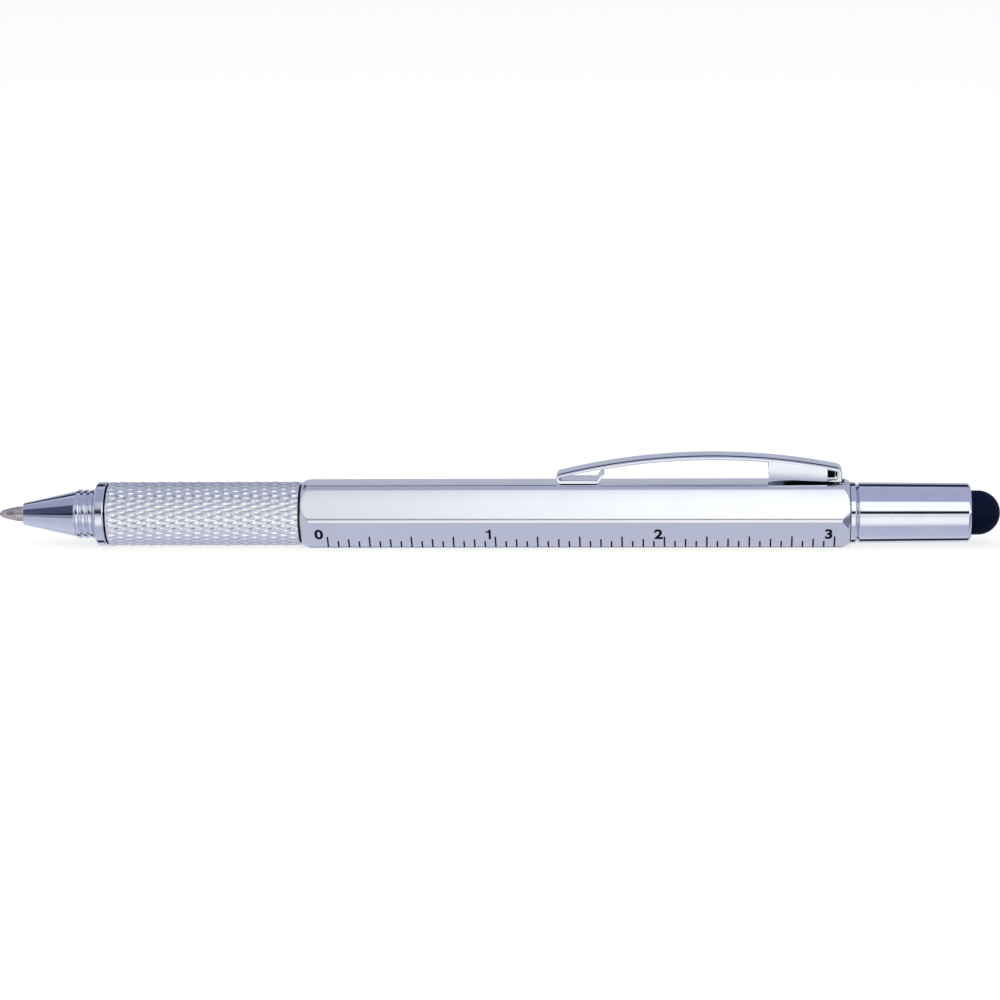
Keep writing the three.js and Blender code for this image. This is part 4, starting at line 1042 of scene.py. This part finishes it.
seam_front, seam_rear = barrel_rear + 0.02, barrel_rear + SEAM
notch_rows = [(edge + side, SPIGOT, 0.001) for edge in (notch_front, notch_rear) for side in (-0.01, 0.01)]
collar = rounded([
    (collar_front, COLLAR_BORE), (collar_front, SPIGOT, 0.2), *notch_rows, (seam_front, SPIGOT, 0.01),
    (seam_front, SEAM_BOTTOM, 0.01), (seam_rear, SEAM_BOTTOM, 0.01), (seam_rear, COLLAR_FLANGE, 0.05),
    (barrel_rear + FLANGE_FULL, COLLAR_FLANGE, 0.08), (barrel_rear + GROOVE, COLLAR_NECK, 0.03),
    (cap_front - 0.03, COLLAR_NECK, 0.02), (cap_front - 0.04, COLLAR_THREAD),
    (collar_rear, COLLAR_THREAD, 0.3), (collar_rear, COLLAR_BORE),
])
collar = drawn_out(collar, cap_front + 0.8, collar_rear - 0.35, THREAD_PITCH / 8)


def beside_barrel(middles):
    """Painted shade in the barrel-collar seam: near its station, and more than 0.1 mm below the surface."""
    near = middles[:, 0] < seam_rear + ON_SURFACE
    return near & (np.hypot(middles[:, 1], middles[:, 2]) < COLLAR_FLANGE - 0.1)


# The seam's bottom next to the barrel gets painted shade.
turned("rear_collar_chromed", collar, "barrel", chrome_plate, "chrome", ["rear_collar"], shape=notched,
       sides=144, recess=beside_barrel)

# %% Cap tube
CAP_BORE, CAP_TAPER, CAP_LIP, CAP_LIP_RADIUS = 3.97, 0.15, 0.4, 3.41
CAP_RADIUS = reach("cap_tube")
cap = rounded([
    (cap_front, CAP_BORE), (cap_front, CAP_RADIUS - 0.3, 0.04), (cap_front + 0.14, CAP_RADIUS, 0.08),
    (cap_rear - 0.35, CAP_RADIUS - CAP_TAPER, 0.16), (cap_rear, CAP_RADIUS - CAP_TAPER - 0.3, 0.14),
    (cap_rear, CAP_LIP_RADIUS, 0.08), (cap_rear - CAP_LIP, CAP_LIP_RADIUS), (cap_rear - CAP_LIP, CAP_BORE),
])
cap = drawn_out(cap, cap_front + 0.6, cap_rear - 0.8, 1.0)
turned("cap_tube_chromed", cap, "cap", chrome_plate, "chrome", ["cap_tube"], sides=144)

# %% [markdown]
# ## Stylus tip
#
# A hollow dome of conductive rubber stands out of the cap's lip. A flange behind the lip holds
# it, and a plug keeps the flange from slipping back. The dome is moulded, so it has no edge.

# %% Rubber dome
stylus_front, stylus_rear = span("stylus_tip")
DOME, DOME_INSIDE, STYLUS_FLANGE = 3.33, 2.48, 3.94
stylus_step = cap_rear - CAP_LIP - 0.02
dome_middle = (stylus_rear - DOME, 0)
dome_outline = np.concatenate([
    [(stylus_front, DOME_INSIDE), (stylus_front, STYLUS_FLANGE - 0.1), (stylus_front + 0.1, STYLUS_FLANGE),
     (stylus_step - 0.1, STYLUS_FLANGE), (stylus_step, STYLUS_FLANGE - 0.1), (stylus_step, DOME)],
    along_arc(dome_middle, DOME, 0, np.pi / 2, 24), along_arc(dome_middle, DOME_INSIDE, np.pi / 2, 0, 24)])
turned("stylus_dome_moulded", dome_outline, "stylus", silicone, "rubber", ["stylus_tip"], sides=96)

# %% [markdown]
# ## Spirit level
#
# A clear vial lies in the white cradle just under the window in the rear upper flat. Its liquid
# has an air bubble, here a dent in the liquid's side towards the window, and two black rings on
# the vial mark its middle.

# %% Vial, liquid and marks
vial_front, vial_rear = span("level_vial")
liquid_front, liquid_rear = span("level_liquid")
VIAL_OFFSET, VIAL_RADIUS, VIAL_WALL = 1.92, 1.85, 0.4
VIAL_MIDDLE = VIAL_OFFSET * np.array([np.cos(np.pi / 6), np.sin(np.pi / 6)])
BUBBLE_HALF, BUBBLE_DEPTH, BUBBLE_WIDE = 2.0, 0.62, np.radians(42)


def beside_axis(points):
    """Moves a turned piece from the pen's axis to the vial's."""
    return points + np.array([0, *VIAL_MIDDLE])


def bubble_depth(s, r, angle):
    """depth * sqrt(1 - (ds/half)^2 - (da/wide)^2) on the window's side, for points off the axis."""
    away = (angle - np.pi / 6 + np.pi) % (2 * np.pi) - np.pi
    dent = np.sqrt(np.clip(1 - ((s - window_middle) / BUBBLE_HALF)**2 - (away / BUBBLE_WIDE)**2, 0, 1))
    return BUBBLE_DEPTH * dent * (r > 1.0)


VIAL_BORE = VIAL_RADIUS - VIAL_WALL
vial_floor, liquid_radius = vial_front + VIAL_WALL + 0.2, VIAL_BORE - 0.03
vial = rounded([
    (vial_front, 0), (vial_front, VIAL_RADIUS, 0.15), (vial_rear, VIAL_RADIUS, 0.1), (vial_rear, VIAL_BORE),
    (vial_floor, VIAL_BORE, 0.2), (vial_floor, 0),
])
vial[:, 1] = np.maximum(vial[:, 1], 0)
turned("level_vial_moulded", vial, "barrel", acrylic, "clear_plastic", ["level_vial"], sides=72,
       shape=beside_axis)

liquid = rounded([(liquid_front, 0), (liquid_front, liquid_radius, 0.2), (liquid_rear, liquid_radius, 0.1),
                  (liquid_rear, 0)])
liquid[:, 1] = np.maximum(liquid[:, 1], 0)
liquid = drawn_out(liquid, window_middle - BUBBLE_HALF - 0.1, window_middle + BUBBLE_HALF + 0.1, 0.1)
turned("level_liquid_with_bubble", liquid, "barrel", level_liquid, "level_fluid", ["level_liquid"], sides=144,
       shape=lambda points: beside_axis(sunk(points, bubble_depth)))

RING_LENGTH, RING_OUT, RING_LOW, RING_HIGH = 0.22, 2.35, VIAL_RADIUS - 0.02, VIAL_RADIUS + 0.012
for name, away in (("front", -RING_OUT), ("rear", RING_OUT)):
    start, end = window_middle + away - RING_LENGTH / 2, window_middle + away + RING_LENGTH / 2
    ring = [(start, RING_LOW), (start, RING_HIGH), (end, RING_HIGH), (end, RING_LOW)]
    turned("level_mark_" + name, ring, "barrel", printing_ink, "black_plastic", sides=72, shape=beside_axis)

# %% [markdown]
# ## Screwdriver bit
#
# The bit is hexagon tool steel, ground to a flat blade at one end and a cross at the other, and
# hides under the cap. Every section of it is a closed curve round the axis, so the radius is one
# function of station and angle: a hexagon, a rectangle or a cross, and a round neck between.

# %% Screwdriver bit
bit_front, bit_rear = span("screwdriver_bit")
BIT_FLATS, NECK, WORKED, BIT_SIDES = 4.0, 1.65, 5.5, 144
BLADE = dict(length=3.4, width=3.2, thick=0.55)
CROSS = dict(length=3.2, root=1.6, tip=0.45, wing=0.62, core=0.55)


def off_zero(wave):
    """The size of a sine or cosine, kept off 0 so that it can divide."""
    return np.maximum(np.abs(wave), 1e-3)


def hexagon_radius(a, flats):
    """Distance to a hexagon's side: apothem / cos(angle from the nearest flat's middle)."""
    return flats / 2 / np.cos(a % (np.pi / 3) - np.pi / 6)


def bit_radius(s, a):
    """The smaller of the hexagon, a cone to the neck, and the blade or the cross at its end."""
    from_front, from_rear = s - bit_front, bit_rear - s
    inset = np.minimum(from_front, from_rear) - WORKED
    round_part = np.where(inset > 0, NECK + 1.9 * inset + 0.25, NECK)
    r = np.minimum(hexagon_radius(a, BIT_FLATS), round_part)
    half = BLADE["thick"] / 2 + np.clip(from_front - BLADE["length"], 0, None) * 0.9
    flat = np.minimum(half / off_zero(np.sin(a)), BLADE["width"] / 2 / off_zero(np.cos(a)))
    blade = np.where(from_front < BLADE["length"] + 1.6, np.minimum(flat, r), r)
    cross_end = CROSS["length"]
    taper = np.interp(from_rear, [0, cross_end, cross_end + 0.5], [CROSS["tip"], CROSS["root"], NECK])
    turn = (a + np.pi / 4) % (np.pi / 2) - np.pi / 4
    wings = np.maximum(CROSS["wing"] / 2 / off_zero(np.sin(turn)), CROSS["core"] * taper)
    wings = wings + np.clip(from_rear - cross_end * 0.9, 0, None) * 2.5
    cross = np.where(from_rear < cross_end + 1.6, np.minimum(np.minimum(wings, taper), r), r)
    return np.minimum(blade, cross)


ends = np.concatenate([[0, 0.05, 0.4, 0.9], np.linspace(1.4, 6.2, 21), [6.6, 7.5]])
bit_stations = np.concatenate([bit_front + ends, bit_rear - ends[::-1]])
around_bit = np.linspace(0, 2 * np.pi, BIT_SIDES, endpoint=False)
grid_s, grid_a = np.meshgrid(bit_stations, around_bit, indexing="ij")
grid_r = bit_radius(grid_s, grid_a)
grid_r[[0, -1]] -= 0.05
bit_points = np.stack([grid_s, grid_r * np.cos(grid_a), grid_r * np.sin(grid_a)], -1)
closing = np.array([[bit_front, 0, 0], [bit_rear, 0, 0]])[:, None, None] * np.ones((1, 1, BIT_SIDES, 1))
bit_points = np.concatenate([closing[0], bit_points, closing[1]])
bit_faces = grid_quads(len(bit_points), BIT_SIDES, False)
piece("screwdriver_bit_ground", bit_points, bit_faces, "bit", tool_steel, "tool_steel", ["screwdriver_bit"],
      sharp=25)

# %% [markdown]
# ## Return spring
#
# The spring between the nose and the refill's crimp is a round wire wound to a helix, with its
# end curls closed up. A circle is carried along the helix. It is put on no body, and its place
# is baked into its points.

# %% Return spring
spring_front, spring_rear = span("return_spring")
SPRING_RADIUS, WIRE, CURLS, STEPS_PER_CURL = 1.72, 0.18, 14, 28
CLOSED_CURLS, CLOSED_PITCH = 1.5, 1.7 * 2 * WIRE  # the curls at each end that lie close, and their length
spring_length = spring_rear - spring_front
turn_share = np.linspace(0, 1, CURLS * STEPS_PER_CURL + 1)
climb = np.interp(turn_share, [0, CLOSED_CURLS / CURLS, 1 - CLOSED_CURLS / CURLS, 1],
                  [0, CLOSED_PITCH / spring_length, 1 - CLOSED_PITCH / spring_length, 1])
winding = 2 * np.pi * CURLS * turn_share
wire_s = spring_front + WIRE + climb * (spring_length - 2 * WIRE)
ring = np.linspace(0, 2 * np.pi, 10, endpoint=False)
wire_r = SPRING_RADIUS + WIRE * np.cos(ring)[None, :] * np.ones((len(winding), 1))
wire_points = np.stack([wire_s[:, None] + WIRE * np.sin(ring)[None, :], wire_r * np.cos(winding)[:, None],
                        wire_r * np.sin(winding)[:, None]], -1)
tips = wire_points[[0, -1]].mean(1, keepdims=True) * np.ones((1, len(ring), 1))
wire_points = np.concatenate([tips[:1], wire_points, tips[1:]])
spring = piece("return_spring_wound", wire_points, grid_quads(len(wire_points), len(ring), False), None,
               spring_steel, "steel", ["return_spring"])
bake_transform(spring)

# %% [markdown]
# ## Studio
#
# Shiny metal shows its surroundings more than itself, so the surroundings are the work here. They
# are all in the world, as bands of brightness by direction: 0 degrees is level towards the front,
# 90 straight up, 180 level towards the back and -90 straight down. White bands are soft boxes,
# lavender grey is the dim room and the table, and the narrow dark bands are the gaps between
# cards, which draw the thin black lines along a cone or a cap.
#
# Metal that faces another way along the pen sees other bands. The cone leans to the left, so it
# mirrors the near and the far left, and its steep mouth the left end. Above the horizon the far
# bands begin further out, so that the barrel stays silver when the camera moves to the right. The
# right side shows in what leans to the stylus, and in the barrel when the camera stands behind on
# the left. What the camera itself sees is plain white, which a strength of 1 gives.

# %% World light
STUDIO_STRENGTH = 1.25
BANDS = {
    "left_end": (
        (-180, "B4B7C6"), (-170, "B4B7C6"), (-166, "1A1C2C"), (-148, "1A1C2C"), (-144, "B4B7C6"),
        (-122, "B4B7C6"), (-118, "1A1C2C"), (-100, "1A1C2C"), (-94, "B4B7C6"), (180, "B4B7C6")),
    "far_left": (
        (-180, "ABAEBC"), (-100, "C6C8D4"), (-40, "B2B5C3"), (-17, "B4B8C8"), (-12, "868996"),
        (4, "868996"), (7, "10131F"), (14, "141826"), (19, "3C4558"), (60, "424B60"),
        (64, "9397AD"), (122, "989CB4"), (128, "22253A"), (141, "22253A"), (147, "A8ABB9"),
        (180, "ABAEBC")),
    "near_left": (
        (-180, "ABAEBC"), (-124, "C8CAD6"), (-118, "B0B2C0"), (-112, "1E2036"), (-101, "1E2036"),
        (-96, "B8BACC"), (-44, "AFB2C3"), (-36, "B4B6C5"), (-29, "CDCDD4"), (-21, "F0EEEE"),
        (-8, "E8E6E8"), (0, "D2D2D6"), (8, "B4B8BC"), (11, "9EA2A8"), (15, "24262F"),
        (23, "20222C"), (28, "74767E"), (34, "B0B2B6"), (38, "B8BBC2"), (53, "B8BBC2"),
        (58, "959BAE"), (112, "959BAE"), (118, "B4B8CA"), (125, "B4B8CA"), (131, "22253A"),
        (146, "22253A"), (153, "A8ABB9"), (180, "ABAEBC")),
    "centre": (
        (-180, "ABAEBC"), (-158, "B0B3C0"), (-145, "D1CED3"), (-130, "CFCED6"), (-125, "1E2036"),
        (-110, "1E2036"), (-105, "C8C8D4"), (-88, "B4B6C7"), (-41, "AFB2C3"), (-35, "D6D3D4"),
        (-27, "F0EEEC"), (-9, "F7F4F0"), (0, "D6D3D6"), (5, "F4F2F4"), (10, "1A1C2C"),
        (17, "1A1C2C"), (21, "FFFFFF"), (53, "FFFFFF"), (57, "A1A5BB"), (118, "9EA3B9"),
        (128, "B0B4C9"), (135, "22253A"), (151, "22253A"), (158, "A8ABB9"), (180, "ABAEBC")),
    "right": (
        (-180, "B4B7C6"), (-165, "B4B7C6"), (-160, "14151F"), (-148, "14151F"), (-143, "AFB2C3"),
        (-66, "AFB2C3"), (-60, "6A6C84"), (-8, "6A6C84"), (0, "C8CAD6"), (20, "FFFFFF"),
        (50, "FFFFFF"), (60, "A1A5BB"), (160, "A1A5BB"), (180, "ABAEBC")),
}
LIMITS = {  # between which shares of the direction along the pen each set of bands takes over
    "far_left": (-0.7, -0.6), "near_left_below": (-0.42, -0.27), "near_left_above": (-0.56, -0.48),
    "centre": (-0.2, 0.0), "right": (0.3, 0.5),
}


def studio_world():
    """Bands by the angle of height over the pen's front side, mixed by the direction along the pen.
    A Mix node's inputs are 0, its factor, 2 and 3, two numbers, and 6 and 7, two colours."""
    world = bpy.data.worlds.new("soft_studio")
    world.use_nodes = True
    tree = world.node_tree
    tree.nodes.clear()
    way = node(tree, "SeparateXYZ", {"Vector": node(tree, "TexCoord").outputs["Generated"]}).outputs
    forward = node(tree, "Math", {0: way["Y"], 1: -1.0}, operation="MULTIPLY").outputs[0]
    angle = node(tree, "Math", {0: way["Z"], 1: forward}, operation="ARCTAN2").outputs[0]
    place = node(tree, "MapRange", {"Value": angle, "From Min": -np.pi, "From Max": np.pi}).outputs[0]
    above = node(tree, "Math", {0: angle, 1: 0.0}, operation="GREATER_THAN").outputs[0]
    share = {name: node(tree, "MapRange", {"Value": way["X"], "From Min": low, "From Max": high}).outputs[0]
             for name, (low, high) in LIMITS.items()}
    share["near_left"] = node(tree, "Mix", {0: above, 2: share["near_left_below"],
                                            3: share["near_left_above"]}).outputs[0]
    studio = None
    for name, pairs in BANDS.items():
        places = [((degrees + 180) / 360, code) for degrees, code in pairs]
        bands = node(tree, "ValToRGB", {"Fac": place}, stops=places).outputs[0]
        if studio:
            bands = node(tree, "Mix", {0: share[name], 6: studio, 7: bands}, data_type="RGBA").outputs[2]
        studio = bands
    path = node(tree, "LightPath").outputs
    seen = node(tree, "Math", {0: path["Is Camera Ray"], 1: path["Is Transmission Ray"]},
                operation="MAXIMUM").outputs[0]
    light = node(tree, "Background", {"Color": studio, "Strength": STUDIO_STRENGTH})
    white = node(tree, "Background", {"Color": (1, 1, 1, 1), "Strength": 1.0})
    mixed = node(tree, "MixShader", {0: seen, 1: light.outputs[0], 2: white.outputs[0]})
    node(tree, "OutputWorld", {"Surface": mixed.outputs[0]})
    bpy.context.scene.world = world


studio_world()

# %% [markdown]
# ## Key lamp
#
# The bands alone would leave rubber, plastic and paper too dim, because they sum up to less than
# plain white light. A large, soft lamp above and in front fills in the rest. Shiny pieces don't
# see it, so it adds no reflection of its own.

# %% Key lamp
LAMP_DISTANCE = 0.8  # m


def soft_lamp(name, towards, watts, size):
    """A square lamp that stands off the pen in one direction and faces it, left out of reflections."""
    lamp = bpy.data.lights.new(name, "AREA")
    lamp.energy, lamp.size = watts, size
    holder = put_in_scene(name, lamp)
    way = Vector(towards).normalized()
    facing = way.to_track_quat("Z", "Y").to_matrix().to_4x4()
    holder.matrix_world = Matrix.Translation(way * LAMP_DISTANCE) @ facing
    holder.visible_glossy = False


soft_lamp("key_lamp", (-0.25, -0.35, 1.0), 4.5, 1.3)

# %% [markdown]
# ## Floor
#
# The pen lies on white paper. The sheet's own colour is a mid grey, so that the pen's shadow stays
# on it, and a little light of its own brings it up to the white of the background, only where it is
# looked at, so no light is added to the pen. Shiny metal doesn't mirror the sheet, because the
# bands of the world below the horizon already stand for the table.

# %% White paper
SHEET_HALF, SHEET_GAP = 1.5, 0.00002  # m
FIBRE_MM, PAPER_GLOW = 0.5, 0.735


def paper_floor():
    """A large sheet just below the frame's lowest point."""
    corners = np.array([(-1, -1, 0), (1, -1, 0), (1, 1, 0), (-1, 1, 0)]) * SHEET_HALF
    mesh = bpy.data.meshes.new("paper_floor")
    mesh.from_pydata(corners + (0, 0, cad_box[0][2] - SHEET_GAP), [], [(0, 1, 2, 3)])
    material, tree, where, shader = finish("paper_white", Roughness=0.9, IOR=1.45,
                                           Emission_Color=(1, 1, 0.95, 1))
    fibre = node(tree, "TexNoise", {"Vector": where, "Scale": PER_METRE / FIBRE_MM, "Detail": 4.0}).outputs[0]
    paper = node(tree, "ValToRGB", {"Fac": fibre}, stops=((0.3, "A2A2A2"), (0.7, "A6A6A6")))
    path = node(tree, "LightPath").outputs
    seen = path["Is Camera Ray"]
    for kind in ("Is Glossy Ray", "Is Transmission Ray"):
        seen = node(tree, "Math", {0: seen, 1: path[kind]}, operation="MAXIMUM").outputs[0]
    glow = node(tree, "Math", {0: seen, 1: PAPER_GLOW}, operation="MULTIPLY")
    tree.links.new(paper.outputs[0], shader.inputs["Base Color"])
    tree.links.new(glow.outputs[0], shader.inputs["Emission Strength"])
    mesh.materials.append(material)
    floor = put_in_scene("paper_floor", mesh)
    floor.visible_glossy = False


paper_floor()

# %% [markdown]
# ## Camera
#
# The ruler in the photograph gives the camera away: the spacing and slant of its marks fix
# distance, turn and tilt. It stands 460 mm off, 3.7 degrees to the right and 13 degrees up,
# with a lens of 109 mm, and is rolled by one degree.

# %% Camera
TURN, TILT, ROLL = np.radians(3.6957), np.radians(12.998), np.radians(-0.93)
DISTANCE, LENS, SENSOR = 459.78, 109.357, 36.0
AIM = np.array([0.837, 0, 6.95])
back = np.array([np.sin(TURN) * np.cos(TILT), -np.cos(TURN) * np.cos(TILT), np.sin(TILT)])
right = np.array([np.cos(TURN), np.sin(TURN), 0])
up = np.cross(back, right)
turned_right = np.cos(ROLL) * right + np.sin(ROLL) * up
turned_up = -np.sin(ROLL) * right + np.cos(ROLL) * up
place = (AIM + DISTANCE * back) * MM
view = bpy.data.cameras.new("photograph_view")
view.lens, view.sensor_width = LENS, SENSOR
view.clip_start, view.clip_end = 0.01, 20
camera = put_in_scene("photograph_view", view)
camera.matrix_world = Matrix(np.block([[np.stack([turned_right, turned_up, back], 1), place[:, None]],
                                       [np.zeros((1, 3)), np.ones((1, 1))]]).tolist())
bpy.context.scene.camera = camera
bpy.context.scene.view_settings.view_transform = "Standard"
print("camera at", np.round(place, 4))
